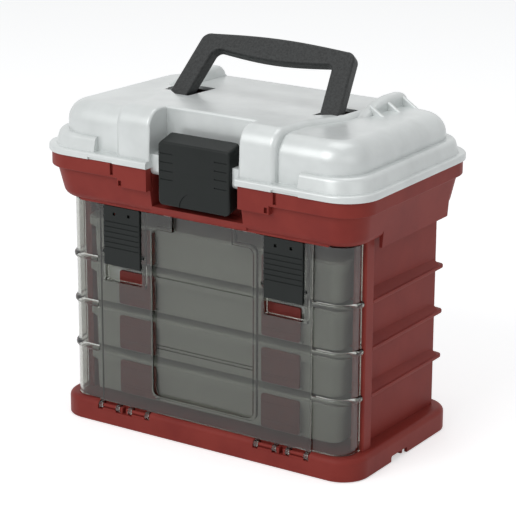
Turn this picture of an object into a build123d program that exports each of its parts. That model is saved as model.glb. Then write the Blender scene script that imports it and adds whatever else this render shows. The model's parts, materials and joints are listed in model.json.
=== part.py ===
from build123d import *
from math import atan2, cos, degrees, radians, sin, tan
import os

os.makedirs("parts", exist_ok=True)

# Fishing tackle cabinet: a rack of four utility boxes behind a drop-down front
# door, with a lidded tray on top. Millimetres, +Z up, front faces -Y.
# The origin is the centre of the base's underside.

# ---- clearances ---------------------------------------------------------------
slide_gap = 0.3          # a box above its runner, the lid above the tub rim
pin_gap = 0.05           # radial play of a pin in its hole
hook_gap = 0.3           # a catch lip beside the edge that it holds

# ---- utility boxes ------------------------------------------------------------
box_width = 232.0
box_depth = 127.0
box_height = 32.0
box_count = 4
box_pitch = 36.65
box_corner = 9.0
box_wall = 1.5
box_lid_height = 7.0
box_rim_width = 3.0
box_draft = 1.5
box_latch_x = 65.8
box_latch_width = 34.0
box_latch_height = 27.0
box_latch_thick = 1.7
divider_columns = 3
divider_thick = 1.2

# ---- side and back walls ------------------------------------------------------
wall = 2.2
side_play = 3.4          # from a box's flank to the side panel
rib_reach = 8.4          # how far the ribs and posts stand out of the panel
rib_rise = 6.0
rib_lip = 3.0
rib_wrap = 4.2           # how far the ribs run past the back panel
panel_slant = 2.4        # the panel lies that much nearer the rib edge at the back
post_depth = 11.7
runner_reach = 9.6
runner_thick = 1.8
back_play = 0.6
head_room = 13.7         # from the top rack space to the tub floor

# ---- base ---------------------------------------------------------------------
base_side = 6.4          # deck outside the ribs
base_nose = 3.1          # deck in front of the door
base_tail = 13.3         # deck behind the back panel
base_height = 17.7
base_corner = 22.0
base_edge = 4.5
base_wall = 2.6
rack_lift = 3.0          # from the deck to the first rack space
box_lift = 2.2           # from a rack space's floor to its box
foot_notch_y = -8.0
foot_notch_width = 24.0
foot_notch_height = 4.6

# ---- front door ---------------------------------------------------------------
door_inset = 3.0         # from the rib's outer edge to the door's flank
door_return = 22.0       # from the door's front to the post
door_box_gap = 5.8       # from the door's sheet to the boxes
door_corner = 15.0
door_gap = 0.5           # above the base and before the posts
door_top_gap = 1.8
facet_x = 98.0           # where the front's recessed corner bays begin
facet_sink = 2.0
ridge_height = 5.5
ridge_reach = 2.0
window_half = 46.0
window_neck_half = 27.0
window_lift = 14.3       # from the door's bottom edge
window_neck_drop = 14.0  # below the tub floor
window_sink = 3.0
window_corner = 5.0
window_line_depth = 0.5
window_wide_line = 2.0
window_fine_line = 0.6
hinge_lead = 0.5         # hinge axis in front of the door's face
hinge_drop = 3.2         # hinge axis below the deck
bar_radius = 1.5
hook_wall = 1.4
hook_width = 3.2
hook_mouth = 2.2
hook_pair_inner = 16.4   # spacing of the two hooks on one bar
hook_first_x = 50.7
hook_second_x = 78.8
bar_overhang = 2.6

# ---- door latches -------------------------------------------------------------
door_latch_x = 73.25
door_latch_width = 34.0
door_latch_height = 47.5
door_latch_tail = 10.0   # from the latch's foot to its pivot
door_latch_proud = 1.6
door_latch_thick = 2.4
door_latch_play = 0.75
finger_room = 13.5       # open stretch of the pocket under the latch
pocket_depth = 5.5
cheek_wall = 1.6
trunnion_radius = 1.5
grip_grooves = 6
grip_groove_pitch = 4.1
grip_groove_width = 0.9
grip_groove_depth = 0.6

# ---- tub ----------------------------------------------------------------------
tub_wall = 2.4
tub_overhang_x = 6.6     # band beyond the base, at the sides
tub_overhang_y = 10.1    # band beyond the base, front and back
tub_band_corner = 26.0
tub_band_height = 11.2
tub_step = 4.0
tub_height = 36.2
tub_draft = 10.0
skirt_drop = 7.0
skirt_setback = 2.3      # from the post to the skirt
tub_foot_round = 6.0
skirt_wall = 2.4
rim_tongue_height = 3.0
rim_tongue_inset = 4.0
rim_tongue_wall = 1.8
door_lip_drop = 1.2
latch_bay_step = 1.0     # the tub's bay is wider than the lid's
latch_bay_floor = 6.0
latch_bay_depth = 21.3   # behind the latch's face
catch_half = 24.0
catch_lift = 9.0         # above the bay's floor
catch_thick = 2.6
catch_depth = 9.1        # its edge behind the latch's face
ear_outer_x = 68.0
ear_drop = 6.3
slot_x = 73.0
slot_width = 3.0

# ---- lid ----------------------------------------------------------------------
lid_wall = 2.4
lid_overhang = 2.1       # flange beyond the tub's band
flange_height = 5.5
flange_edge = 1.8
flange_notch_inner_x = 71.0
flange_notch_outer_x = 94.0
flange_notch_height = 2.2
shoulder_inset = 3.1
shoulder_corner = 27.0
shoulder_height = 16.5
shoulder_draft = 12.0
shoulder_end_x = 91.0
dome_inset_x = 13.1
dome_inset_y = 9.8
dome_corner = 26.0
dome_front_height = 40.0
dome_rear_height = 35.0
dome_edge = 16.0
spine_half = 71.0
spine_rear_half = 84.0
spine_flare_front_y = -28.0
spine_flare_rear_y = 14.0
spine_front_inset = 4.8
spine_rear_inset = 8.8
spine_front_height = 44.5
spine_rear_height = 38.0
spine_front_round = 15.0
spine_rear_round = 8.0
spine_edge = 4.5
recess_depth = 2.5
recess_front_y = -30.0
recess_front_half = 54.0
fin_play = 2.4           # from the folded handle's leg to the hump
fin_thick = 10.0
fin_front_y = -58.0
fin_top_y = 42.0
fin_top_height = 46.5
fin_rear_round = 12.0
fin_edge = 3.4
gusset_reach = 14.0
gusset_thick = 2.4
gusset_count = 3
gusset_first_y = 24.0
gusset_pitch = 22.5
bay_half = 40.0
bay_depth = 23.3         # behind the latch's face
bay_lean = 5.0
knuckle_gap = 0.2        # between the knuckles and the band
knuckle_drop = 6.2       # hinge axis below the tub's rim
knuckle_radius = 3.6
lid_pin_radius = 1.6
knuckle_x = 78.0
knuckle_width = 14.0
knuckle_lug = 6.0
knuckle_play = 0.4

# ---- lid latch ----------------------------------------------------------------
latch_half = 32.0
latch_inset = 5.0        # its face behind the flange's front
latch_lift = 4.0         # its foot above the bay's floor
latch_height = 53.0
latch_depth = 14.3
latch_wall = 2.4
latch_corner = 4.0
latch_pivot_depth = 8.3
latch_pivot_height = 25.5
latch_pin_radius = 2.0
latch_ear_radius = 5.0
latch_groove_count = 4
latch_groove_pitch = 6.6
latch_groove_length = 11.0
scoop_radius = 13.0

# ---- handle -------------------------------------------------------------------
handle_pivot_y = -4.0
handle_pivot_height = 34.5
handle_lean = 41.8
handle_length = 58.0
handle_foot_x = 69.4
handle_shoulder_x = 61.0
handle_leg_width = 15.4
handle_grip_height = 13.5
handle_grip_sag = 3.5
handle_thick = 10.0
handle_pin_radius = 3.2
slot_side_play = 1.2
slot_inner_play = 5.5
slot_rear_reach = 32.0
boss_wall = 3.0
boss_radius = 6.2


def slab(width, depth, corner, bottom, height, taper=0.0, mode=Mode.ADD):
    """Rounded rectangular block about the Z axis, added to the part in hand."""
    with BuildSketch(Plane.XY.offset(bottom)) as outline:
        RectangleRounded(width, depth, corner)
    extrude(outline.sketch, amount=height, taper=taper, mode=mode)


def block(low, high, mode=Mode.ADD):
    """Square-cornered block between two opposite corners."""
    size = [b - a for a, b in zip(low, high)]
    centre = [(a + b) / 2 for a, b in zip(low, high)]
    with Locations(tuple(centre)):
        Box(*size, mode=mode)


def side_block(side, inner, outer, front, rear, bottom, top, mode=Mode.ADD):
    """Block between two distances from the middle plane, on one side (-1 or 1)."""
    near, far = sorted((side * inner, side * outer))
    block((near, front, bottom), (far, rear, top), mode)


def rod(x_from, x_to, y, z, radius, mode=Mode.ADD):
    """Round bar or bore along X."""
    start = min(x_from, x_to)
    with BuildSketch(Plane.YZ.offset(start)) as outline:
        with Locations((y, z)):
            Circle(radius)
    extrude(outline.sketch, amount=abs(x_to - x_from), mode=mode)


# ---- levels and planes that several pieces share ------------------------------
rack_floor_z = base_height + rack_lift
rack_levels = [rack_floor_z + level * box_pitch for level in range(box_count)]
rib_levels = rack_levels[1:]
carcass_top_z = rack_floor_z + box_count * box_pitch + head_room
panel_inner_x = box_width / 2 + side_play
panel_outer_x = panel_inner_x + wall
rib_edge_x = panel_outer_x + rib_reach
base_width = 2 * (rib_edge_x + base_side)
base_depth = base_nose + wall + door_box_gap + box_depth + back_play + wall + base_tail
door_half = rib_edge_x - door_inset
door_front_y = base_nose - base_depth / 2
door_inner_y = door_front_y + wall
box_front_y = door_inner_y + door_box_gap
post_front_y = door_front_y + door_return
post_rear_y = post_front_y + post_depth
box_back_y = box_front_y + box_depth
back_inner_y = box_back_y + back_play
back_outer_y = back_inner_y + wall
hinge_y = door_front_y - hinge_lead
hinge_z = base_height - hinge_drop
tub_band_half_x = base_width / 2 + tub_overhang_x
tub_band_half_y = base_depth / 2 + tub_overhang_y
tub_top_z = carcass_top_z + tub_height
tub_band_z = tub_top_z - tub_band_height
lid_bottom_z = tub_top_z + slide_gap
flange_top_z = lid_bottom_z + flange_height
door_bottom_z = base_height + door_gap
door_top_z = carcass_top_z - door_top_gap
door_latch_top_z = carcass_top_z - door_lip_drop - hook_gap
door_latch_bottom_z = door_latch_top_z - door_latch_height
door_latch_pivot_z = door_latch_bottom_z + door_latch_tail
pocket_bottom_z = door_latch_bottom_z - finger_room
window_bottom_z = door_bottom_z + window_lift
window_neck_z = carcass_top_z - window_neck_drop
lid_half_x = tub_band_half_x + lid_overhang
lid_half_y = tub_band_half_y + lid_overhang
lid_corner = tub_band_corner + lid_overhang
shoulder_half_x = lid_half_x - shoulder_inset
shoulder_half_y = lid_half_y - shoulder_inset
dome_half_x = lid_half_x - dome_inset_x
dome_half_y = lid_half_y - dome_inset_y
dome_front_z = lid_bottom_z + dome_front_height
dome_rear_z = lid_bottom_z + dome_rear_height
spine_front_y = spine_front_inset - lid_half_y
spine_rear_y = lid_half_y - spine_rear_inset
spine_front_z = lid_bottom_z + spine_front_height
spine_rear_z = lid_bottom_z + spine_rear_height
fin_top_z = lid_bottom_z + fin_top_height
handle_pivot_z = lid_bottom_z + handle_pivot_height
lid_hinge_y = tub_band_half_y + knuckle_radius + knuckle_gap
lid_hinge_z = tub_top_z - knuckle_drop
latch_front_y = latch_inset - lid_half_y
latch_back_y = latch_front_y + latch_depth
latch_bay_half = bay_half + latch_bay_step
latch_bay_back_y = latch_front_y + latch_bay_depth
bay_back_y = latch_front_y + bay_depth
bay_floor_z = carcass_top_z + latch_bay_floor
catch_z = bay_floor_z + catch_lift
catch_front_y = latch_front_y + catch_depth
latch_bottom_z = bay_floor_z + latch_lift
latch_top_z = latch_bottom_z + latch_height
latch_pivot_y = latch_front_y + latch_pivot_depth
latch_pivot_z = latch_bottom_z + latch_pivot_height
door_rear_y = post_front_y - door_gap / 2
hook_radius = bar_radius + pin_gap + hook_wall
leg_outer = handle_foot_x + handle_leg_width / 2
leg_inner = handle_foot_x - handle_leg_width / 2
fin_inner_x = leg_outer + fin_play
fin_outer_x = fin_inner_x + fin_thick
pocket_half = door_latch_width / 2 + door_latch_play
pocket_inner_x = door_latch_x - pocket_half
pocket_outer_x = door_latch_x + pocket_half
hook_spots = [first + step for first in (hook_first_x, hook_second_x) for step in (0, hook_pair_inner)]
hinge_pocket_inner_x = hook_first_x - bar_overhang
hinge_pocket_outer_x = hook_spots[-1] + bar_overhang

# ---- base: an upturned tray with ribs under its deck --------------------------
with BuildPart() as base:
    slab(base_width, base_depth, base_corner, 0, base_height)
    fillet(base.faces().sort_by(Axis.Z)[-1].edges(), base_edge)
    inner_height = base_height - base_wall
    inner_corner = base_corner - base_wall
    rib_half_x = base_width / 2 - base_wall
    rib_half_y = base_depth / 2 - base_wall
    slab(2 * rib_half_x, 2 * rib_half_y, inner_corner, 0, inner_height, mode=Mode.SUBTRACT)
    for rib_x in (-box_latch_x, 0, box_latch_x):
        block((rib_x - wall / 2, -rib_half_y, 0), (rib_x + wall / 2, rib_half_y, inner_height))
    block((-rib_half_x, -wall / 2, 0), (rib_half_x, wall / 2, inner_height))
    # finger notches in the foot of the two end walls
    for side in (-1, 1):
        with BuildSketch(Plane.YZ.offset(side * rib_half_x)) as foot_notch:
            with Locations((foot_notch_y, 0)):
                Trapezoid(foot_notch_width + 2 * foot_notch_height, 2 * foot_notch_height, 60)
        extrude(foot_notch.sketch, amount=side * base_width, mode=Mode.SUBTRACT)
    # pockets in the front edge for the door's hooks
    pocket_rear_y = hinge_y + hook_radius + slide_gap
    pocket_floor_z = hinge_z - hook_radius - slide_gap
    housing_rear_y = pocket_rear_y + base_wall
    for side in (-1, 1):
        housing = (hinge_pocket_inner_x - wall, hinge_pocket_outer_x + wall)
        side_block(side, *housing, -rib_half_y, housing_rear_y, pocket_floor_z - base_wall, inner_height)
        side_block(
            side, hinge_pocket_inner_x, hinge_pocket_outer_x, -base_depth, pocket_rear_y,
            pocket_floor_z, 2 * base_height, Mode.SUBTRACT,
        )
        bar_end_reach = hook_width / 2 + hook_gap + wall
        bar_ends = (hook_spots[1] + bar_end_reach, hook_spots[2] - bar_end_reach)
        rod(side * hinge_pocket_inner_x, side * bar_ends[0], hinge_y, hinge_z, bar_radius)
        rod(side * bar_ends[1], side * hinge_pocket_outer_x, hinge_y, hinge_z, bar_radius)
        web_rear_y = pocket_rear_y
        for web_x in (bar_ends[0] - wall / 2, bar_ends[1] + wall / 2):
            web = (web_x - wall / 2, web_x + wall / 2)
            side_block(side, *web, hinge_y - bar_radius, web_rear_y, pocket_floor_z, hinge_z + bar_radius)
        # low knuckle pads under the bars, between the hooks
        pad_gap = hook_width / 2 + hook_gap
        for first in (0, 2):
            pad = (hook_spots[first] + pad_gap, hook_spots[first + 1] - pad_gap)
            side_block(side, *pad, -base_depth / 2, pocket_rear_y, pocket_floor_z, hinge_z - bar_radius)
base.part.label = "base"
export_step(base.part, "parts/base.step")

# ---- side panels: corner post, panel with wrapped ribs, box runners ------------
for side, side_name in ((-1, "left"), (1, "right")):
    with BuildPart() as side_panel:
        post_height = carcass_top_z - base_height
        side_block(side, panel_inner_x, rib_edge_x, post_front_y, post_rear_y, base_height, carcass_top_z)
        fillet(side_panel.edges().filter_by(Axis.Z).group_by(SortBy.DISTANCE)[-1], wall / 2)
        with BuildSketch(Plane.XY.offset(base_height)) as sheet:
            with BuildLine():
                Polyline(
                    (side * panel_inner_x, post_rear_y),
                    (side * panel_outer_x, post_rear_y),
                    (side * (panel_outer_x + panel_slant), back_outer_y),
                    (side * (panel_inner_x + panel_slant), back_outer_y),
                    close=True,
                )
            make_face()
        extrude(sheet.sketch, amount=post_height)
        for level in rib_levels:
            with BuildSketch(Plane.XY.offset(level)) as lip:
                with BuildLine():
                    Polyline(
                        (side * panel_inner_x, post_rear_y),
                        (side * rib_edge_x, post_rear_y),
                        (side * rib_edge_x, back_outer_y + rib_wrap),
                        (side * (panel_inner_x + panel_slant), back_outer_y + rib_wrap),
                        (side * (panel_inner_x + panel_slant), back_inner_y),
                        close=True,
                    )
                make_face()
                fillet(lip.vertices().sort_by(Axis.Y)[-2:].sort_by(Axis.X)[::side][-1], rib_reach / 2)
            extrude(lip.sketch, amount=rib_lip)
            with BuildSketch(Plane.XZ.offset(-post_rear_y)) as wedge:
                with BuildLine():
                    Polyline(
                        (side * panel_outer_x, level + rib_lip),
                        (side * (rib_edge_x - rib_lip / 2), level + rib_lip),
                        (side * panel_outer_x, level + rib_lip + rib_rise),
                        close=True,
                    )
                make_face()
            extrude(wedge.sketch, amount=post_rear_y - back_inner_y)
        for level in rack_levels:
            runner_top = level + box_lift - slide_gap
            runner = (panel_inner_x - runner_reach, panel_inner_x + panel_slant)
            with BuildSketch(Plane.XY.offset(runner_top - runner_thick)) as shelf:
                with BuildLine():
                    Polyline(
                        (side * runner[0], post_rear_y),
                        (side * panel_inner_x, post_rear_y),
                        (side * runner[1], back_inner_y),
                        (side * runner[0], back_inner_y),
                        close=True,
                    )
                make_face()
            extrude(shelf.sketch, amount=runner_thick)
    side_panel.part.label = f"side_panel_{side_name}"
    export_step(side_panel.part, f"parts/side_panel_{side_name}.step")

# ---- back panel: sheet between the side panels, with the same ribs -------------
with BuildPart() as back_panel:
    back_half = panel_inner_x + panel_slant - (panel_slant * wall / (back_outer_y - post_rear_y))
    block((-back_half, back_inner_y, base_height), (back_half, back_outer_y, carcass_top_z))
    for level in rib_levels:
        rib_front = back_outer_y
        block((-back_half, rib_front, level), (back_half, back_outer_y + rib_wrap, level + rib_lip))
    with BuildSketch(Plane.XY.offset(base_height)) as stiffeners:
        with Locations((-box_latch_x, back_outer_y + wall / 2), (box_latch_x, back_outer_y + wall / 2)):
            Rectangle(wall, wall)
    extrude(stiffeners.sketch, amount=carcass_top_z - base_height)
back_panel.part.label = "back_panel"
export_step(back_panel.part, "parts/back_panel.step")

# ---- tub: tray on top of the rack, under the lid ------------------------------
with BuildPart() as tub:
    body_half_x = tub_band_half_x - tub_step
    body_half_y = tub_band_half_y - tub_step
    body_corner = tub_band_corner - tub_step
    body_height = tub_band_z - carcass_top_z
    with BuildSketch(Plane.XY.offset(tub_band_z)) as body_outline:
        RectangleRounded(2 * body_half_x, 2 * body_half_y, body_corner)
    extrude(body_outline.sketch, amount=-body_height, taper=tub_draft)
    fillet(tub.faces().sort_by(Axis.Z)[0].edges(), tub_foot_round)
    slab(2 * tub_band_half_x, 2 * tub_band_half_y, tub_band_corner, tub_band_z, tub_band_height)
    with BuildSketch(Plane.XY.offset(tub_top_z)) as cavity_outline:
        RectangleRounded(2 * (body_half_x - tub_wall), 2 * (body_half_y - tub_wall), body_corner - tub_wall)
    cavity_depth = tub_height - tub_wall
    extrude(cavity_outline.sketch, amount=-cavity_depth, taper=tub_draft, mode=Mode.SUBTRACT)
    # tongue that the lid closes over
    tongue_half_x = tub_band_half_x - rim_tongue_inset
    tongue_half_y = tub_band_half_y - rim_tongue_inset
    tongue_corner = tub_band_corner - rim_tongue_inset
    with BuildSketch(Plane.XY.offset(tub_top_z)) as tongue:
        RectangleRounded(2 * tongue_half_x, 2 * tongue_half_y, tongue_corner)
        tongue_in = tongue_corner - rim_tongue_wall
        tongue_bore = [2 * (half - rim_tongue_wall) for half in (tongue_half_x, tongue_half_y)]
        RectangleRounded(*tongue_bore, tongue_in, mode=Mode.SUBTRACT)
    extrude(tongue.sketch, amount=rim_tongue_height)
    tongue_end_x = bay_half + lid_wall + slide_gap
    block(
        (-tongue_end_x, -tub_band_half_y, tub_top_z),
        (tongue_end_x, latch_bay_back_y, 2 * tub_top_z),
        Mode.SUBTRACT,
    )
    # skirts that cover the top of the side panels
    skirt_bottom_x = body_half_x - body_height * tan(radians(tub_draft))
    for side in (-1, 1):
        skirt_front_y = post_rear_y + skirt_setback
        skirt_rear_y = body_half_y - body_height * tan(radians(tub_draft)) - body_corner / 2
        side_block(
            side, skirt_bottom_x - skirt_wall, skirt_bottom_x, skirt_front_y, skirt_rear_y,
            carcass_top_z - skirt_drop, carcass_top_z + skirt_wall,
        )
    # lip that hangs in front of the door's top edge
    lip_front_y = -(body_half_y - body_height * tan(radians(tub_draft)))
    lip_half = door_half - door_corner
    block(
        (-lip_half, lip_front_y, carcass_top_z - door_lip_drop),
        (lip_half, lip_front_y + tub_wall, carcass_top_z + tub_wall),
    )
    # bay for the lid latch, with its catch
    block(
        (-latch_bay_half - tub_wall, lip_front_y, carcass_top_z),
        (latch_bay_half + tub_wall, latch_bay_back_y + tub_wall, tub_top_z),
    )
    for side in (-1, 1):
        side_block(
            side, latch_bay_half, ear_outer_x, -tub_band_half_y, -body_half_y + tub_wall,
            tub_band_z - ear_drop, tub_top_z,
        )
    block(
        (-latch_bay_half, -2 * tub_band_half_y, bay_floor_z),
        (latch_bay_half, latch_bay_back_y, 2 * tub_top_z),
        Mode.SUBTRACT,
    )
    block((-catch_half, catch_front_y, catch_z), (catch_half, latch_bay_back_y, catch_z + catch_thick))
    for side in (-1, 1):
        slot = (slot_x - slot_width / 2, slot_x + slot_width / 2)
        side_block(
            side, *slot, -2 * tub_band_half_y, -tub_band_half_y + tub_wall,
            tub_top_z - tub_band_height + wall, 2 * tub_top_z, Mode.SUBTRACT,
        )
        hole = (ear_outer_x - slot_width - wall / 2, ear_outer_x - wall / 2)
        side_block(
            side, *hole, -2 * tub_band_half_y, -tub_band_half_y + tub_wall,
            tub_band_z - ear_drop + wall / 2, tub_band_z - wall / 2, Mode.SUBTRACT,
        )
    # hinge lugs behind the band, bored for the lid's pins
    lug_offset = knuckle_width / 2 + knuckle_play + knuckle_lug / 2
    for hinge_x in (-knuckle_x, knuckle_x):
        for lug_x in (hinge_x - lug_offset, hinge_x + lug_offset):
            lug = (lug_x - knuckle_lug / 2, lug_x + knuckle_lug / 2)
            rod(*lug, lid_hinge_y, lid_hinge_z, knuckle_radius)
            block(
                (lug[0], tub_band_half_y - tub_wall, lid_hinge_z - knuckle_radius),
                (lug[1], lid_hinge_y, lid_hinge_z + knuckle_radius),
            )
            rod(*lug, lid_hinge_y, lid_hinge_z, lid_pin_radius + pin_gap, Mode.SUBTRACT)
tub.part.label = "tub"
export_step(tub.part, "parts/tub.step")

# ---- pins of the lid hinge ----------------------------------------------------
for side, side_name in ((-1, "left"), (1, "right")):
    with BuildPart() as lid_hinge_pin:
        pin_half = lug_offset + knuckle_lug / 2
        pin_ends = (side * (knuckle_x - pin_half), side * (knuckle_x + pin_half))
        rod(*pin_ends, lid_hinge_y, lid_hinge_z, lid_pin_radius)
    lid_hinge_pin.part.label = f"lid_hinge_pin_{side_name}"
    export_step(lid_hinge_pin.part, f"parts/lid_hinge_pin_{side_name}.step")


# ---- lid ----------------------------------------------------------------------
def spine_top(y):
    """Height of the raised middle's rim at a place from front to back."""
    slope = (spine_rear_z - spine_front_z) / (spine_rear_y - spine_front_y)
    return spine_front_z + slope * (y - spine_front_y)


def spine_mass(inset):
    """Raised middle of the lid, or the hollow inside it."""
    half = spine_half - inset
    rear_half = spine_rear_half - inset
    front = spine_front_y + inset
    rear = spine_rear_y - inset
    drop = inset + (recess_depth if inset else 0)
    with BuildPart() as spine:
        with BuildSketch(Plane.XY.offset(lid_bottom_z)):
            with BuildLine():
                Polyline(
                    (-half, front), (half, front),
                    (half, spine_flare_front_y), (rear_half, spine_flare_rear_y),
                    (rear_half, rear), (-rear_half, rear), (-rear_half, spine_flare_rear_y),
                    (-half, spine_flare_front_y), close=True,
                )
            make_face()
        extrude(amount=2 * tub_height)
        with BuildSketch(Plane.YZ) as profile:
            with BuildLine():
                Polyline(
                    (front, lid_bottom_z), (front, spine_top(front) - drop),
                    (rear, spine_top(rear) - drop), (rear, lid_bottom_z), close=True,
                )
            make_face()
            upper = profile.vertices().group_by(Axis.Y)
            fillet(upper[0].sort_by(Axis.Z)[-1], spine_front_round - inset)
            fillet(profile.vertices().group_by(Axis.Y)[-1].sort_by(Axis.Z)[-1], spine_rear_round - inset)
        extrude(profile.sketch, amount=spine_rear_half, both=True, mode=Mode.INTERSECT)
        flanks = spine.faces().filter_by(Axis.X).filter_by(lambda face: abs(face.center().X) < half + 1)
        rim = [edge for flank in flanks for edge in flank.edges() if edge.center().Z > lid_bottom_z + 1]
        fillet([edge for edge in rim if edge.center().Y < spine_flare_front_y - 1], spine_edge - inset / 2)
    return spine.part


def dome_mass(inset):
    """Lower dome and shoulder round the spine, or the hollow inside them."""
    with BuildPart() as dome:
        slab(
            2 * (dome_half_x - inset), 2 * (dome_half_y - inset), dome_corner - inset,
            lid_bottom_z, 2 * tub_height, taper=1.0,
        )
        middle_z = (dome_front_z + dome_rear_z) / 2 - inset
        dome_slope = (dome_rear_z - dome_front_z) / (2 * dome_half_y)
        split(bisect_by=Plane(origin=(0, 0, middle_z), z_dir=(0, -dome_slope, 1)), keep=Keep.BOTTOM)
        fillet(dome.faces().sort_by(Axis.Z)[-1].edges(), dome_edge - inset)
        slab(
            2 * (shoulder_half_x - inset), 2 * (shoulder_half_y - inset), shoulder_corner - inset,
            lid_bottom_z, shoulder_height - inset, taper=shoulder_draft,
        )
        block(
            (-shoulder_end_x - inset, -lid_half_y, 0),
            (shoulder_end_x + inset, -dome_half_y + inset, 2 * tub_top_z),
            Mode.SUBTRACT,
        )
    return dome.part


def bay_mass(inset):
    """Space for the latch cut into the lid's front."""
    back = bay_back_y + inset
    top = spine_front_z
    with BuildPart() as bay:
        with BuildSketch(Plane.YZ):
            with BuildLine():
                Polyline(
                    (-2 * lid_half_y, 0), (back, 0), (back, top - bay_lean), (back - bay_lean, 2 * top),
                    (-2 * lid_half_y, 2 * top), close=True,
                )
            make_face()
        extrude(amount=bay_half + inset, both=True)
    return bay.part


def hump_mass(side):
    """Long hump beside the folded grip, rising from the dome to the rear."""
    foot_z = dome_rear_z - dome_edge
    rear_y = spine_rear_y - lid_wall / 2
    with BuildPart() as hump:
        with BuildSketch(Plane.YZ.offset(min(side * fin_inner_x, side * fin_outer_x))) as profile:
            with BuildLine():
                Polyline(
                    (fin_front_y, foot_z), (fin_top_y, fin_top_z), (rear_y, fin_top_z - lid_wall / 2),
                    (rear_y, foot_z), close=True,
                )
            make_face()
            fillet(profile.vertices().sort_by(Axis.Y)[-2:].sort_by(Axis.Z)[-1], fin_rear_round)
        extrude(profile.sketch, amount=fin_thick)
        along = hump.edges().filter_by(lambda edge: edge.center().Z > foot_z + 1)
        fillet(along.filter_by(Axis.X, reverse=True), fin_edge)
    return hump.part


with BuildPart() as lid:
    slab(2 * lid_half_x, 2 * lid_half_y, lid_corner, lid_bottom_z, flange_height)
    fillet(lid.faces().sort_by(Axis.Z)[-1].edges(), flange_edge)
    add(dome_mass(0))
    add(spine_mass(0))
    # shallow recess in the top, open to the back
    with BuildSketch(Plane.YZ.offset(-fin_inner_x)) as recess_side:
        recess_rear_y = spine_rear_y + wall
        with BuildLine():
            Polyline(
                (recess_front_y, spine_top(recess_front_y)),
                (recess_front_y + recess_depth, spine_top(recess_front_y) - recess_depth),
                (recess_rear_y, spine_top(recess_rear_y) - recess_depth),
                (recess_rear_y, 2 * spine_front_z), (recess_front_y, 2 * spine_front_z), close=True,
            )
        make_face()
    with BuildSketch(Plane.XY.offset(lid_bottom_z)) as recess_plan:
        with BuildLine():
            Polyline(
                (-recess_front_half, recess_front_y), (recess_front_half, recess_front_y),
                (fin_inner_x, spine_flare_rear_y), (fin_inner_x, recess_rear_y),
                (-fin_inner_x, recess_rear_y), (-fin_inner_x, spine_flare_rear_y), close=True,
            )
        make_face()
    recess_block = extrude(recess_side.sketch, amount=2 * fin_inner_x, mode=Mode.PRIVATE)
    recess_column = extrude(recess_plan.sketch, amount=2 * spine_front_z, mode=Mode.PRIVATE)
    add(recess_block & recess_column, mode=Mode.SUBTRACT)
    # humps that flank the folded grip, with three gussets outside each
    for side in (-1, 1):
        add(hump_mass(side))
        for gusset in range(gusset_count):
            gusset_y = gusset_first_y + gusset * gusset_pitch
            with BuildSketch(Plane.XZ.offset(-gusset_y)) as fillet_web:
                with BuildLine():
                    web_foot_z = dome_rear_z - lid_wall / 2
                    Polyline(
                        (side * (fin_outer_x - wall), web_foot_z),
                        (side * (fin_outer_x + gusset_reach), web_foot_z),
                        (side * (fin_outer_x - wall), fin_top_z - recess_depth),
                        close=True,
                    )
                make_face()
            extrude(fillet_web.sketch, amount=gusset_thick / 2, both=True)
    add(bay_mass(0), mode=Mode.SUBTRACT)
    add((dome_mass(lid_wall) + spine_mass(lid_wall)) - bay_mass(lid_wall), mode=Mode.SUBTRACT)
    # clearance for the tub's tongue inside the flange
    tongue_play = rim_tongue_inset - slide_gap + lid_half_x - tub_band_half_x
    groove_corner = lid_corner - tongue_play
    with BuildSketch(Plane.XY.offset(lid_bottom_z)) as tongue_groove:
        RectangleRounded(2 * (lid_half_x - tongue_play), 2 * (lid_half_y - tongue_play), groove_corner)
        Rectangle(2 * (bay_half + lid_wall), lid_half_y, mode=Mode.SUBTRACT)
    tongue_room = rim_tongue_height + slide_gap
    extrude(tongue_groove.sketch, amount=tongue_room, mode=Mode.SUBTRACT)
    for side in (-1, 1):
        # raised stretches of the flange's lower edge
        side_block(
            side, flange_notch_inner_x, flange_notch_outer_x, -2 * lid_half_y, -shoulder_half_y - wall / 2,
            0, lid_bottom_z + flange_notch_height, Mode.SUBTRACT,
        )
        # slot for the handle's leg
        slot_front_y = handle_pivot_y - handle_thick / 2 - slot_side_play
        slot_rear_y = handle_pivot_y + slot_rear_reach
        side_block(
            side, leg_inner - slot_inner_play, leg_outer + slot_side_play, slot_front_y, slot_rear_y,
            handle_pivot_z - boss_radius, 2 * spine_front_z, Mode.SUBTRACT,
        )
        # bosses either side of the slot, bored for the handle's trunnions
        boss_spans = (
            (leg_inner - slot_inner_play - boss_wall, leg_inner - slot_inner_play),
            (leg_outer + slot_side_play, leg_outer + slot_side_play + boss_wall),
        )
        for span in boss_spans:
            side_block(
                side, *span, handle_pivot_y - boss_radius, handle_pivot_y + boss_radius,
                handle_pivot_z - boss_radius, spine_top(handle_pivot_y) - recess_depth - lid_wall / 2,
            )
        rod(
            side * boss_spans[0][0], side * boss_spans[1][1], handle_pivot_y, handle_pivot_z,
            handle_pin_radius + pin_gap, Mode.SUBTRACT,
        )
        # ears that carry the latch
        ear_inner = latch_half + hook_gap
        rod(side * ear_inner, side * bay_half, latch_pivot_y, latch_pivot_z, latch_ear_radius)
        side_block(
            side, ear_inner, bay_half, latch_pivot_y - latch_ear_radius, latch_pivot_y + latch_ear_radius,
            latch_pivot_z, flange_top_z + latch_ear_radius,
        )
        side_block(
            side, bay_half - wall / 2, bay_half + lid_wall, latch_pivot_y - latch_ear_radius,
            latch_pivot_y + latch_ear_radius, lid_bottom_z, flange_top_z + latch_ear_radius,
        )
        rod(
            side * ear_inner, side * bay_half, latch_pivot_y, latch_pivot_z,
            latch_pin_radius + pin_gap, Mode.SUBTRACT,
        )
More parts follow.
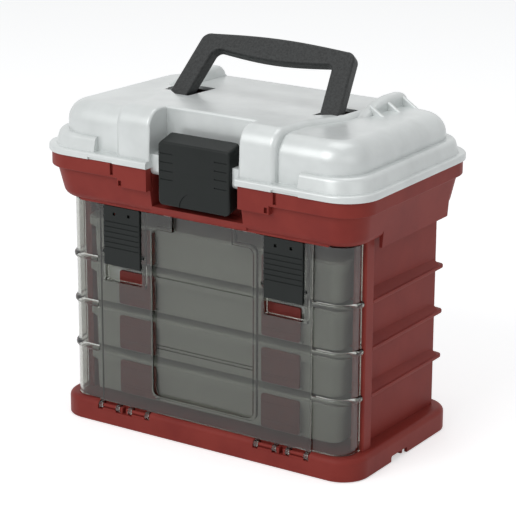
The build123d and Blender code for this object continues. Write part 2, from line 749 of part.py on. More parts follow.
    # hinge knuckles
    for hinge_x in (-knuckle_x, knuckle_x):
        knuckle = (hinge_x - knuckle_width / 2, hinge_x + knuckle_width / 2)
        rod(*knuckle, lid_hinge_y, lid_hinge_z, knuckle_radius)
        block(
            (knuckle[0], tub_band_half_y + slide_gap, lid_hinge_z),
            (knuckle[1], lid_hinge_y + knuckle_radius, flange_top_z),
        )
        rod(*knuckle, lid_hinge_y, lid_hinge_z, lid_pin_radius + pin_gap, Mode.SUBTRACT)
lid.part.label = "lid"
export_step(lid.part, "parts/lid.step")

# ---- lid latch: hollow cover plate on two trunnions ----------------------------
def latch_mass(inset):
    """Rounded cover of the lid latch, or the hollow behind its face."""
    height = latch_top_z - latch_bottom_z - 2 * inset
    back = latch_back_y + inset
    with BuildPart() as mass:
        with BuildSketch(Plane.XZ.offset(-back)) as face:
            with Locations((0, (latch_top_z + latch_bottom_z) / 2)):
                RectangleRounded(2 * (latch_half - inset), height, latch_corner - inset / 2)
        extrude(face.sketch, amount=back - latch_front_y - inset)
        with BuildSketch(Plane.YZ) as profile:
            with BuildLine():
                Polyline(
                    (latch_front_y, latch_bottom_z),
                    (latch_front_y, latch_top_z - latch_corner - inset),
                    (back, latch_top_z - inset),
                    (back, latch_bottom_z + latch_corner - 3 * inset),
                    close=True,
                )
            make_face()
        extrude(profile.sketch, amount=latch_half, both=True, mode=Mode.INTERSECT)
    return mass.part


with BuildPart() as lid_latch:
    add(latch_mass(0))
    add(latch_mass(latch_wall), mode=Mode.SUBTRACT)
    # hook lip under the tub's catch
    lip_top_z = catch_z - hook_gap
    lip_tip_y = catch_front_y - 2 * hook_gap
    block(
        (-catch_half, latch_front_y + latch_wall / 2, lip_top_z - latch_wall),
        (catch_half, lip_tip_y, lip_top_z),
    )
    # short grip grooves down both margins of the face
    for side in (-1, 1):
        for groove in range(latch_groove_count):
            groove_z = latch_top_z - 2 * latch_groove_pitch - groove * latch_groove_pitch
            groove_outer = latch_half - latch_wall
            side_block(
                side, groove_outer - latch_groove_length, groove_outer, latch_front_y - wall,
                latch_front_y + grip_groove_depth, groove_z, groove_z + grip_groove_width, Mode.SUBTRACT,
            )
    # arched finger scoop at the foot of the face
    with BuildSketch(Plane.XZ.offset(-latch_front_y - grip_groove_depth)) as scoop:
        with Locations((0, latch_bottom_z)):
            Circle(scoop_radius)
    extrude(scoop.sketch, amount=latch_wall, mode=Mode.SUBTRACT)
    for side in (-1, 1):
        rod(
            side * (latch_half - latch_wall), side * (bay_half - hook_gap), latch_pivot_y, latch_pivot_z,
            latch_pin_radius,
        )
lid_latch.part.label = "lid_latch"
export_step(lid_latch.part, "parts/lid_latch.step")

# ---- handle: drawn upright in its own plane, then leaned back ------------------
handle_plane = Plane(
    origin=(0, handle_pivot_y, handle_pivot_z),
    x_dir=(1, 0, 0),
    z_dir=(0, -cos(radians(handle_lean)), sin(radians(handle_lean))),
)
with BuildPart() as handle:
    with BuildSketch(handle_plane) as bail:
        half_leg = handle_leg_width / 2
        grip_bottom = handle_length - handle_grip_height
        with BuildLine():
            Polyline(
                (-handle_foot_x - half_leg, 0), (-handle_shoulder_x - half_leg, handle_length),
                (handle_shoulder_x + half_leg, handle_length), (handle_foot_x + half_leg, 0),
                (handle_foot_x - half_leg, 0),
                (handle_shoulder_x - half_leg, grip_bottom),
            )
            ThreePointArc(
                (handle_shoulder_x - half_leg, grip_bottom), (0, grip_bottom - handle_grip_sag),
                (-handle_shoulder_x + half_leg, grip_bottom),
            )
            Polyline(
                (-handle_shoulder_x + half_leg, grip_bottom), (-handle_foot_x + half_leg, 0),
                (-handle_foot_x - half_leg, 0),
            )
        make_face()
        fillet(bail.vertices().group_by(Axis.Y)[-1], handle_grip_height / 2)
    extrude(bail.sketch, amount=handle_thick / 2, both=True)
    fillet(handle.edges().filter_by(GeomType.LINE).sort_by(SortBy.LENGTH)[-2:], wall)
    for side in (-1, 1):
        rod(side * leg_inner, side * leg_outer, handle_pivot_y, handle_pivot_z, handle_thick / 2)
        pin_inner = leg_inner - slot_inner_play - boss_wall
        pin_outer = leg_outer + slot_side_play + boss_wall
        rod(side * pin_inner, side * pin_outer, handle_pivot_y, handle_pivot_z, handle_pin_radius)
handle.part.label = "handle"
export_step(handle.part, "parts/handle.step")


# ---- front door ---------------------------------------------------------------
def door_outline(sink, step):
    """Plan of the door's bent sheet at a depth below its front, with stepped corners."""
    corner = door_corner - sink
    with BuildSketch() as outline:
        with BuildLine():
            Polyline(
                (-door_half + sink, door_rear_y + wall), (-door_half + sink, door_front_y + step + sink),
                (-facet_x + sink, door_front_y + step + sink), (-facet_x + sink, door_front_y + sink),
                (facet_x - sink, door_front_y + sink), (facet_x - sink, door_front_y + step + sink),
                (door_half - sink, door_front_y + step + sink), (door_half - sink, door_rear_y + wall),
                close=True,
            )
        make_face()
        ends = outline.vertices().filter_by(lambda v: abs(v.X) > door_half - door_corner)
        fillet(ends.filter_by(lambda v: v.Y < door_rear_y), corner)
        with Locations((0, door_rear_y + wall)):
            Rectangle(4 * door_half, 2 * wall, mode=Mode.SUBTRACT)
    return outline.sketch


def ridge_mass(side, level):
    """Rib round one front corner of the door at a rack level, with sloping flanks."""
    half_height = ridge_height / 2
    slope = degrees(atan2(ridge_reach, half_height))
    reach_x = door_half + ridge_reach
    reach_y = ridge_reach - door_front_y - facet_sink
    with BuildPart() as ridge:
        with BuildSketch(Plane.XY.offset(level + half_height)) as middle:
            RectangleRounded(2 * reach_x, 2 * reach_y, door_corner + ridge_reach)
        extrude(middle.sketch, amount=half_height, taper=slope)
        extrude(middle.sketch, amount=-half_height, taper=slope)
        side_block(
            side, facet_x, 2 * door_half, -base_depth, door_rear_y,
            level - wall, level + ridge_height + wall, Mode.INTERSECT,
        )
        core = Plane.XY.offset(level) * door_outline(wall / 2, facet_sink)
        extrude(core, amount=ridge_height, mode=Mode.SUBTRACT)
    return ridge.part


with BuildPart() as door:
    door_height = door_top_z - door_bottom_z
    sheet = door_outline(0, facet_sink) - door_outline(wall, facet_sink)
    extrude(Plane.XY.offset(door_bottom_z) * sheet, amount=door_height)
    for level in rib_levels:
        for side in (-1, 1):
            add(ridge_mass(side, level))
    # sunk window with a narrow neck at the top
    window = [
        (-window_half, window_bottom_z), (window_half, window_bottom_z), (window_half, window_neck_z),
        (window_neck_half, window_neck_z), (window_neck_half, door_top_z), (-window_neck_half, door_top_z),
        (-window_neck_half, window_neck_z), (-window_half, window_neck_z),
    ]
    with BuildSketch(Plane.XZ.offset(-door_front_y)) as opening:
        with BuildLine():
            Polyline(*window, close=True)
        make_face()
        fillet(opening.vertices().filter_by(lambda v: abs(v.X) > window_neck_half + wall), window_corner)
    with BuildSketch(Plane.XZ.offset(-door_inner_y)) as tray:
        with BuildLine():
            Polyline(*window, close=True)
        make_face()
        offset(amount=wall, kind=Kind.INTERSECTION)
        with Locations((0, door_top_z + wall)):
            Rectangle(2 * door_half, 2 * wall, mode=Mode.SUBTRACT)
    extrude(tray.sketch, amount=-window_sink)
    extrude(opening.sketch, amount=-window_sink, mode=Mode.SUBTRACT)
    # lines across the pane, under the second rack space and over the third
    pane_y = door_front_y + window_sink
    window_lines = (
        (rib_levels[1] - box_pitch / 2 - rib_lip, window_wide_line),
        (rib_levels[2] - window_fine_line, window_fine_line),
    )
    for line_z, line_width in window_lines:
        block(
            (slide_gap - window_half, door_front_y, line_z),
            (window_half - slide_gap, pane_y + window_line_depth, line_z + line_width),
            Mode.SUBTRACT,
        )
    for side in (-1, 1):
        # opening for the latch, walled by cheeks on three sides
        side_block(
            side, pocket_inner_x - cheek_wall, pocket_outer_x + cheek_wall, door_front_y,
            door_front_y + pocket_depth, pocket_bottom_z - cheek_wall, door_top_z,
        )
        side_block(
            side, pocket_inner_x, pocket_outer_x, 2 * door_front_y, 0, pocket_bottom_z, 2 * door_top_z,
            Mode.SUBTRACT,
        )
        latch_pin_y = door_front_y + wall / 2 + pin_gap
        rod(
            side * (pocket_inner_x - cheek_wall), side * (pocket_outer_x + cheek_wall),
            latch_pin_y, door_latch_pivot_z, trunnion_radius + pin_gap, Mode.SUBTRACT,
        )
        # snap hooks round the base's bars
        for spot in hook_spots:
            hook = (side * spot - hook_width / 2, side * spot + hook_width / 2)
            rod(*hook, hinge_y, hinge_z, hook_radius)
            block((hook[0], door_front_y, hinge_z), (hook[1], door_inner_y, door_bottom_z + wall))
            rod(*hook, hinge_y, hinge_z, bar_radius + pin_gap, Mode.SUBTRACT)
            block(
                (hook[0], hinge_y - hook_mouth / 2, hinge_z - 2 * hook_radius),
                (hook[1], hinge_y + hook_mouth / 2, hinge_z),
                Mode.SUBTRACT,
            )
door.part.label = "door"
export_step(door.part, "parts/door.step")

# ---- door latches -------------------------------------------------------------
for side, side_name in ((-1, "left"), (1, "right")):
    with BuildPart() as door_latch:
        plate_front_y = door_front_y - door_latch_proud
        plate_inner_x = door_latch_x - door_latch_width / 2
        plate_outer_x = door_latch_x + door_latch_width / 2
        side_block(
            side, plate_inner_x, plate_outer_x, plate_front_y, plate_front_y + door_latch_thick,
            door_latch_bottom_z, door_latch_top_z,
        )
        foot = door_latch.edges().filter_by(Axis.X).group_by(Axis.Z)[0].sort_by(Axis.Y)[-1]
        chamfer(foot, door_latch_thick / 2)
        rod(
            side * (pocket_inner_x - cheek_wall), side * (pocket_outer_x + cheek_wall),
            latch_pin_y, door_latch_pivot_z, trunnion_radius,
        )
        for groove in range(grip_grooves):
            groove_z = door_latch_pivot_z + grip_groove_pitch * (groove + 1)
            side_block(
                side, 0, 2 * door_latch_x, 2 * plate_front_y, plate_front_y + grip_groove_depth,
                groove_z, groove_z + grip_groove_width, Mode.SUBTRACT,
            )
        hole_side = door_latch_thick
        for hole_x in (door_latch_x - door_latch_width / 5, door_latch_x + door_latch_width / 5):
            side_block(
                side, hole_x - hole_side / 2, hole_x + hole_side / 2, 2 * plate_front_y, 0,
                door_latch_top_z - 3 * hole_side, door_latch_top_z - 2 * hole_side, Mode.SUBTRACT,
            )
    door_latch.part.label = f"door_latch_{side_name}"
    export_step(door_latch.part, f"parts/door_latch_{side_name}.step")

# ---- utility boxes: tray, lid, two latches and a set of dividers each ----------
tray_height = box_height - box_lid_height
lid_front_y = box_front_y + box_latch_thick + slide_gap
box_middle_y = (lid_front_y + box_back_y) / 2
lid_depth = box_back_y - lid_front_y
tray_width = box_width - 2 * box_rim_width
tray_depth = lid_depth - 2 * box_rim_width
tray_bore = (tray_width - 2 * box_wall, tray_depth - 2 * box_wall)
for number, level in enumerate(rack_levels, start=1):
    box_z = level + box_lift
    rim_z = box_z + tray_height
    with BuildPart() as box_tray:
        with BuildSketch(Plane.XY.offset(rim_z)) as mouth:
            with Locations((0, box_middle_y)):
                RectangleRounded(tray_width, tray_depth, box_corner)
        extrude(mouth.sketch, amount=-tray_height, taper=box_draft)
        with BuildSketch(Plane.XY.offset(rim_z)) as hollow:
            with Locations((0, box_middle_y)):
                RectangleRounded(*tray_bore, box_corner - box_wall)
                Rectangle(tray_width, box_wall, mode=Mode.SUBTRACT)
        extrude(hollow.sketch, amount=-(tray_height - box_wall), taper=box_draft, mode=Mode.SUBTRACT)
        with BuildSketch(Plane.XY.offset(rim_z)) as rim:
            with Locations((0, box_middle_y)):
                rim_mouth = (tray_width - box_wall, tray_depth - box_wall)
                RectangleRounded(tray_width + box_rim_width, tray_depth + box_rim_width, box_corner)
                RectangleRounded(*rim_mouth, box_corner, mode=Mode.SUBTRACT)
        extrude(rim.sketch, amount=-box_wall)
        for latch_x in (-box_latch_x, box_latch_x):
            block(
                (latch_x - box_latch_width / 2, lid_front_y, box_z + box_wall),
                (latch_x + box_latch_width / 2, lid_front_y + 3 * box_wall, box_z + 2 * box_wall),
            )
    box_tray.part.label = f"box_tray_{number}"
    export_step(box_tray.part, f"parts/box_tray_{number}.step")

    with BuildPart() as box_lid:
        with BuildSketch(Plane.XY.offset(rim_z + slide_gap / 2)) as cover:
            with Locations((0, box_middle_y)):
                RectangleRounded(box_width, lid_depth, box_corner)
        extrude(cover.sketch, amount=box_lid_height - slide_gap / 2)
        chamfer(box_lid.faces().sort_by(Axis.Z)[-1].edges(), box_wall)
        with BuildSketch(Plane.XY.offset(rim_z)) as cover_hollow:
            with Locations((0, box_middle_y)):
                RectangleRounded(*tray_bore, box_corner - box_wall)
        extrude(cover_hollow.sketch, amount=box_lid_height - box_wall, mode=Mode.SUBTRACT)
    box_lid.part.label = f"box_lid_{number}"
    export_step(box_lid.part, f"parts/box_lid_{number}.step")

    for side, side_name in ((-1, "left"), (1, "right")):
        with BuildPart() as box_latch:
            latch_low_z = box_z + (box_height - box_latch_height) / 2
            side_block(
                side, box_latch_x - box_latch_width / 2, box_latch_x + box_latch_width / 2,
                box_front_y, box_front_y + box_latch_thick, latch_low_z, latch_low_z + box_latch_height,
            )
        box_latch.part.label = f"box_latch_{number}_{side_name}"
        export_step(box_latch.part, f"parts/box_latch_{number}_{side_name}.step")

    with BuildPart() as box_dividers:
        divider_pitch = tray_width / (divider_columns + 1)
        divider_half = tray_depth / 4 - box_wall
        divider_low_z = box_z + box_wall
        slope_room = tray_height * tan(radians(box_draft)) + slide_gap
        divider_size = (divider_thick, 2 * (divider_half - slope_room), tray_height - box_wall - slide_gap)
        divider_z = divider_low_z + slide_gap / 2 + divider_size[2] / 2
        for row in (-1, 1):
            row_y = box_middle_y + row * tray_depth / 4
            with Locations((0, row_y, divider_z)):
                with GridLocations(divider_pitch, 1, divider_columns, 1):
                    Box(*divider_size)
    box_dividers.part.label = f"box_dividers_{number}"
    export_step(box_dividers.part, f"parts/box_dividers_{number}.step")
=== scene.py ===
"""Looks of a fishing tackle cabinet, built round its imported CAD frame.

Sizes are in millimetres unless a name says otherwise. +Z is up and the front
door faces -Y. The origin is the centre of the base's underside. A tool that
cuts reaches well past the piece, and its far ends are plain round numbers.
"""
import json
import logging
from contextlib import contextmanager
from dataclasses import dataclass
from enum import Enum
from math import cos, pi, radians, sin
from typing import Callable, Iterator, Sequence

import bmesh
import bpy
from mathutils import Matrix, Vector


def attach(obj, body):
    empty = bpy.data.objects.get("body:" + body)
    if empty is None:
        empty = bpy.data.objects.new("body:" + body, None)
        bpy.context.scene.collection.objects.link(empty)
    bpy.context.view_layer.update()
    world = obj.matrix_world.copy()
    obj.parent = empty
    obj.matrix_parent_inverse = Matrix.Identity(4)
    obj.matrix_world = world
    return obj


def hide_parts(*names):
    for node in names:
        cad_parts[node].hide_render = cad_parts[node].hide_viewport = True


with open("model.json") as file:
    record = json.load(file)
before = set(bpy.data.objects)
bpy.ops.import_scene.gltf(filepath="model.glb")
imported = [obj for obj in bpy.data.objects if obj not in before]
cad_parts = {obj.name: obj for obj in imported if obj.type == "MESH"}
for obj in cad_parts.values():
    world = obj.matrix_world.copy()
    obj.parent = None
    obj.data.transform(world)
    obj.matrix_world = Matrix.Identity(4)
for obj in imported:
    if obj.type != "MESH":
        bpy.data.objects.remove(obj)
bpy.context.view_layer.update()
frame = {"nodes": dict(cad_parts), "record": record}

MM = 0.001
SMOOTH_ANGLE = radians(32)  # faces that meet at less are shaded as one surface
FLAT_ANGLE = radians(1)  # an edge that bends less lies in a flat face: no bevel
JOIN_DISTANCE = 0.000002  # metres; vertices nearer than this become one
ALONG = 0.9  # an edge with more than this of an axis in it runs along the axis
ACROSS = 0.1  # an edge with less than this of an axis in it runs across the axis
NEAR = 0.1  # places that differ by less are on one level
SIDES = (("left", -1), ("right", 1))

Pair = tuple[float, float]
Point = tuple[float, float, float]
EdgeTest = Callable[[Vector, Vector], bool]
PointTest = Callable[[Vector], bool]
Piece = bpy.types.Object

log = logging.getLogger("cabinet")


class Boolean(Enum):
    """How one solid acts on another."""

    ADD = "UNION"
    CUT = "DIFFERENCE"


# ---------------------------------------------------------------------------
# Modelling: primitives shaped by Blender's operators
# ---------------------------------------------------------------------------
def deselect() -> None:
    """Deselects every object, since operators act on all that is selected."""
    bpy.ops.object.select_all(action="DESELECT")


def take(piece: Piece) -> None:
    """Makes one object the only selected and active one.

    Args:
        piece: The finished mesh object.
    """
    deselect()
    piece.select_set(True)
    bpy.context.view_layer.objects.active = piece


@contextmanager
def editing(piece: Piece, mode: str = "EDGE") -> Iterator[None]:
    """Opens a piece in edit mode with nothing selected, and closes it again.

    Args:
        piece: The mesh object to edit.
        mode: VERT, EDGE or FACE selection.
    """
    take(piece)
    bpy.ops.object.mode_set(mode="EDIT")
    bpy.ops.mesh.select_mode(type=mode)
    bpy.ops.mesh.select_all(action="DESELECT")
    yield
    bpy.ops.object.mode_set(mode="OBJECT")


def settle(piece: Piece, name: str) -> Piece:
    """Puts a primitive's place into its mesh and names it.

    Args:
        piece: The primitive just added.
        name: The name to give it.

    Returns:
        The same object, at the origin, unturned and unscaled.
    """
    piece.name = name
    take(piece)
    bpy.ops.object.transform_apply(location=True, rotation=True, scale=True)
    return piece


def block(name: str, low: Point, high: Point) -> Piece:
    """Adds a cube primitive stretched between two opposite corners.

    Args:
        name: The object's name.
        low: Lowest corner in mm.
        high: Highest corner in mm.

    Returns:
        The new mesh object.
    """
    deselect()
    centre = [(a + b) / 2 * MM for a, b in zip(low, high)]
    size = [(b - a) * MM for a, b in zip(low, high)]
    bpy.ops.mesh.primitive_cube_add(size=1, location=centre, scale=size)
    return settle(bpy.context.object, name)


def side_block(name: str, side: int, inner: float, outer: float, low: tuple, high: tuple) -> Piece:
    """Adds a block between two distances from the middle plane.

    Args:
        name: The object's name.
        side: -1 for left, 1 for right.
        inner: Nearer distance from the middle plane.
        outer: Farther distance from the middle plane.
        low: Lowest Y and Z.
        high: Highest Y and Z.

    Returns:
        The new mesh object.
    """
    near, far = sorted((side * inner, side * outer))
    return block(name, (near, *low), (far, *high))


def rod(name: str, span: Sequence[float], y: float, z: float, radius: float, sides: int = 28) -> Piece:
    """Adds a round bar along X.

    Args:
        name: The object's name.
        span: The two ends in X.
        y: Place of the axis in Y.
        z: Place of the axis in Z.
        radius: Radius of the bar.
        sides: Faces round the bar.

    Returns:
        The new mesh object.
    """
    deselect()
    length = abs(span[1] - span[0])
    middle = (span[0] + span[1]) / 2
    bpy.ops.mesh.primitive_cylinder_add(
        vertices=sides, radius=radius * MM, depth=length * MM,
        location=(middle * MM, y * MM, z * MM), rotation=(0, pi / 2, 0),
    )
    return settle(bpy.context.object, name)


def upright(middle: Vector, way: Vector) -> bool:
    """Edge test: the edge stands along Z."""
    return abs(way.z) > ALONG


def select_edges(piece: Piece, test: EdgeTest) -> None:
    """Selects, in edit mode, the edges that pass a test and aren't in a flat face.

    Args:
        piece: The object being edited.
        test: Takes an edge's middle in mm and its direction.
    """
    mesh = bmesh.from_edit_mesh(piece.data)
    for edge in mesh.edges:
        start, end = (vertex.co / MM for vertex in edge.verts)
        bent = edge.calc_face_angle(pi) > FLAT_ANGLE
        if bent and test((start + end) / 2, (end - start).normalized()):
            edge.select_set(True)
    bmesh.update_edit_mesh(piece.data)


def round_edges(piece: Piece, test: EdgeTest, radius: float, segments: int = 4) -> None:
    """Bevels the edges that pass a test.

    Args:
        piece: The object to shape.
        test: Takes an edge's middle in mm and its direction.
        radius: Width of the bevel in mm.
        segments: Faces across the bevel.
    """
    with editing(piece):
        select_edges(piece, test)
        bpy.ops.mesh.bevel(
            offset=radius * MM, segments=segments, affect="EDGES", clamp_overlap=False,
            offset_type="OFFSET", profile=0.5,
        )


def pick(piece: Piece, test: PointTest) -> None:
    """Selects, in edit mode, the vertices that pass a test.

    Args:
        piece: The object being edited.
        test: Takes a vertex's place in mm.
    """
    mesh = bmesh.from_edit_mesh(piece.data)
    for vertex in mesh.verts:
        if test(vertex.co / MM):
            vertex.select_set(True)
    bmesh.update_edit_mesh(piece.data)


def shift(piece: Piece, test: PointTest, move: Point) -> None:
    """Slides the vertices that pass a test.

    Args:
        piece: The object to shape.
        test: Takes a vertex's place in mm.
        move: Distance to slide in mm.
    """
    with editing(piece, "VERT"):
        pick(piece, test)
        bpy.ops.transform.translate(value=[m * MM for m in move])


def spread(piece: Piece, test: PointTest, factor: Point, about: Point) -> None:
    """Scales the vertices that pass a test about a point.

    Args:
        piece: The object to shape.
        test: Takes a vertex's place in mm.
        factor: Scale along X, Y and Z.
        about: The point that stays, in mm.
    """
    with editing(piece, "VERT"):
        pick(piece, test)
        bpy.ops.transform.resize(value=factor, center_override=[a * MM for a in about])


def slice_at(piece: Piece, point: Point, normal: Point) -> None:
    """Adds a ring of edges where a plane passes through a piece.

    Args:
        piece: The object to shape.
        point: A point of the plane in mm.
        normal: The plane's normal.
    """
    with editing(piece, "FACE"):
        bpy.ops.mesh.select_all(action="SELECT")
        bpy.ops.mesh.bisect(plane_co=[p * MM for p in point], plane_no=normal)


def combine(target: Piece, tool: Piece, how: Boolean) -> Piece:
    """Applies a boolean of two solids and removes the tool.

    Args:
        target: The solid that stays.
        tool: The solid that is used up.
        how: Join or cut.

    Returns:
        The target.
    """
    take(target)
    modifier = target.modifiers.new("combine", "BOOLEAN")
    modifier.operation = how.value
    modifier.solver = "EXACT"
    modifier.object = tool
    bpy.ops.object.modifier_apply(modifier=modifier.name)
    bpy.data.objects.remove(tool)
    with editing(target, "VERT"):
        bpy.ops.mesh.select_all(action="SELECT")
        bpy.ops.mesh.remove_doubles(threshold=JOIN_DISTANCE)
        bpy.ops.mesh.dissolve_degenerate(threshold=JOIN_DISTANCE)
    return target


def add(target: Piece, *tools: Piece) -> Piece:
    """Unites solids with the first, one after another.

    Args:
        target: The solid that stays.
        tools: The solids, in the order in which they act.

    Returns:
        The target.
    """
    for tool in tools:
        combine(target, tool, Boolean.ADD)
    return target


def cut(target: Piece, *tools: Piece) -> Piece:
    """Cuts solids out of the first, one after another.

    Args:
        target: The solid that stays.
        tools: The solids, in the order in which they act.

    Returns:
        The target.
    """
    for tool in tools:
        combine(target, tool, Boolean.CUT)
    return target


def merged(tools: Sequence[Piece]) -> Piece:
    """Puts solids that don't touch each other into one object, for one boolean.

    Args:
        tools: The solids; the first of them stays.

    Returns:
        The first solid, which now holds them all.
    """
    take(tools[0])
    for tool in tools[1:]:
        tool.select_set(True)
    bpy.ops.object.join()
    return tools[0]


def shade(piece: Piece) -> None:
    """Merges doubles and smooths the shading, with flat faces kept flat.

    Args:
        piece: The finished mesh object.
    """
    with editing(piece, "VERT"):
        bpy.ops.mesh.select_all(action="SELECT")
        bpy.ops.mesh.remove_doubles(threshold=JOIN_DISTANCE)
    take(piece)
    bpy.ops.object.shade_smooth_by_angle(angle=SMOOTH_ANGLE)
    modifier = piece.modifiers.new("even", "WEIGHTED_NORMAL")
    modifier.keep_sharp = True
    bpy.ops.object.modifier_apply(modifier=modifier.name)


# ---------------------------------------------------------------------------
# Finishes
# ---------------------------------------------------------------------------
def linear(code: str) -> tuple[float, float, float, float]:
    """Turns an sRGB hex colour into linear RGBA.

    Args:
        code: Six hex digits after a hash.

    Returns:
        Linear red, green, blue and an alpha of 1.
    """
    parts = [int(code[i:i + 2], 16) / 255 for i in (1, 3, 5)]
    return (*[c / 12.92 if c <= 0.04045 else ((c + 0.055) / 1.055) ** 2.4 for c in parts], 1.0)


def wire(tree: bpy.types.NodeTree, node: bpy.types.Node, settings: dict, links: dict) -> None:
    """Sets a node up and joins other nodes' outputs to it.

    Args:
        tree: The node's tree.
        node: The node.
        settings: Input values by socket name, or properties of the node.
        links: Output sockets to join, by the input's name or number.
    """
    for key, value in settings.items():
        if key in node.inputs:
            node.inputs[key].default_value = value
        else:
            setattr(node, key, value)
    for key, socket in links.items():
        tree.links.new(socket, node.inputs[key])


def add_node(
    tree: bpy.types.NodeTree, kind: str, settings: dict | None = None, links: dict | None = None,
) -> bpy.types.Node:
    """Adds a node with its settings and links.

    Args:
        tree: The node tree to add to.
        kind: The node's type name, without the ShaderNode in front.
        settings: Input values by socket name, or properties of the node.
        links: Output sockets to join, by the input's name or number.

    Returns:
        The new node.
    """
    node = tree.nodes.new(f"ShaderNode{kind}")
    wire(tree, node, settings or {}, links or {})
    return node


def blank_material(name: str) -> tuple[bpy.types.Material, bpy.types.NodeTree, bpy.types.Node]:
    """Makes a material that holds one Principled shader.

    Args:
        name: The material's name.

    Returns:
        The material, its tree and the shader.
    """
    material = bpy.data.materials.new(name)
    material.use_nodes = True
    return material, material.node_tree, material.node_tree.nodes["Principled BSDF"]


def per_metre(size_mm: float) -> float:
    """Noise scale whose features are about this many mm across."""
    return 1 / (size_mm * MM)


@dataclass(frozen=True)
class MouldedPlastic:
    """Opaque injection-moulded plastic with a fine texture from the mould."""

    name: str
    colour: str
    dark: str
    roughness: float
    grain_mm: float
    grain_depth_mm: float
    mottle_mm: float = 40.0
    coat: float = 0.0
    metallic: float = 0.0
    specular: float = 0.5
    gloss_spread: float = 0.06
    coat_roughness: float = 0.15
    ior: float = 1.49

    def build(self) -> bpy.types.Material:
        """Builds the material: mottled colour, grain bump and uneven gloss.

        Returns:
            The finished material.
        """
        material, tree, shader = blank_material(self.name)
        place = {"Vector": add_node(tree, "TexCoord").outputs["Object"]}
        # cloudy mottle of the two colours: random tone of the plastic; at the grip's fine scale its pale spots
        # are painted highlight
        noise = {"Scale": per_metre(self.mottle_mm), "Detail": 3.0, "Roughness": 0.6}
        mottle = add_node(tree, "TexNoise", noise, place)
        cloud = {"From Min": 0.3, "From Max": 0.6}
        patches = add_node(tree, "MapRange", cloud, {"Value": mottle.outputs["Fac"]})
        ends = {"data_type": "RGBA", "A": linear(self.dark), "B": linear(self.colour)}
        tint = add_node(tree, "Mix", ends, {"Factor": patches.outputs["Result"]})
        grain = add_node(tree, "TexNoise", {"Scale": per_metre(self.grain_mm), "Detail": 2.0}, place)
        height = grain.outputs["Fac"]
        span = {"To Min": self.roughness - self.gloss_spread, "To Max": self.roughness + self.gloss_spread}
        gloss = add_node(tree, "MapRange", span, {"Value": height})
        relief = {"Strength": 1.0, "Distance": self.grain_depth_mm * MM}
        bump = add_node(tree, "Bump", relief, {"Height": height})
        wire(tree, shader, {
            "Metallic": self.metallic, "Coat Weight": self.coat, "Coat Roughness": self.coat_roughness,
            "Specular IOR Level": self.specular, "IOR": self.ior,
        }, {
            "Base Color": next(s for s in tint.outputs if s.type == "RGBA"),
            "Roughness": gloss.outputs["Result"], "Normal": bump.outputs["Normal"],
        })
        return material


@dataclass(frozen=True)
class ClearPlastic:
    """See-through moulded plastic; light passes through it into its shadow."""

    name: str
    tint: str
    shadow: str
    roughness: float
    ripple_mm: float
    ripple_depth_mm: float
    haze: float = 0.0
    haze_colour: str = "#ffffff"
    ior: float = 1.49

    def build(self) -> bpy.types.Material:
        """Builds the material: tinted transmission, faint ripples and haze.

        Returns:
            The finished material.
        """
        material, tree, shader = blank_material(self.name)
        place = {"Vector": add_node(tree, "TexCoord").outputs["Object"]}
        ripple = add_node(tree, "TexNoise", {"Scale": per_metre(self.ripple_mm), "Detail": 1.0}, place)
        relief = {"Strength": 1.0, "Distance": self.ripple_depth_mm * MM}
        bump = add_node(tree, "Bump", relief, {"Height": ripple.outputs["Fac"]})
        wire(tree, shader, {
            "Base Color": linear(self.tint), "Roughness": self.roughness, "IOR": self.ior,
            "Transmission Weight": 1.0,
        }, {"Normal": bump.outputs["Normal"]})
        surface = shader.outputs["BSDF"]
        if self.haze:
            frost = add_node(tree, "BsdfDiffuse", {"Color": linear(self.haze_colour)})
            ways = {1: surface, 2: frost.outputs["BSDF"]}
            surface = add_node(tree, "MixShader", {"Fac": self.haze}, ways).outputs["Shader"]
        through = add_node(tree, "BsdfTransparent", {"Color": linear(self.shadow)})
        path = add_node(tree, "LightPath")
        ways = {"Fac": path.outputs["Is Shadow Ray"], 1: surface, 2: through.outputs["BSDF"]}
        lit = add_node(tree, "MixShader", {}, ways)
        tree.links.new(lit.outputs["Shader"], tree.nodes["Material Output"].inputs["Surface"])
        return material


@dataclass(frozen=True)
class PlatedSteel:
    """Drawn steel wire with a bright plating, for hinge pins."""

    name: str
    colour: str
    roughness: float
    draw_mm: float

    def build(self) -> bpy.types.Material:
        """Builds the material: metal with fine draw marks along X.

        Returns:
            The finished material.
        """
        material, tree, shader = blank_material(self.name)
        place = {"Vector": add_node(tree, "TexCoord").outputs["Object"]}
        turned = {"Vector": add_node(tree, "Mapping", {"Scale": (0.05, 1.0, 1.0)}, place).outputs["Vector"]}
        marks = add_node(tree, "TexNoise", {"Scale": per_metre(self.draw_mm)}, turned)
        span = {"To Min": self.roughness, "To Max": self.roughness + 0.15}
        gloss = add_node(tree, "MapRange", span, {"Value": marks.outputs["Fac"]})
        settings = {"Base Color": linear(self.colour), "Metallic": 1.0}
        wire(tree, shader, settings, {"Roughness": gloss.outputs["Result"]})
        return material


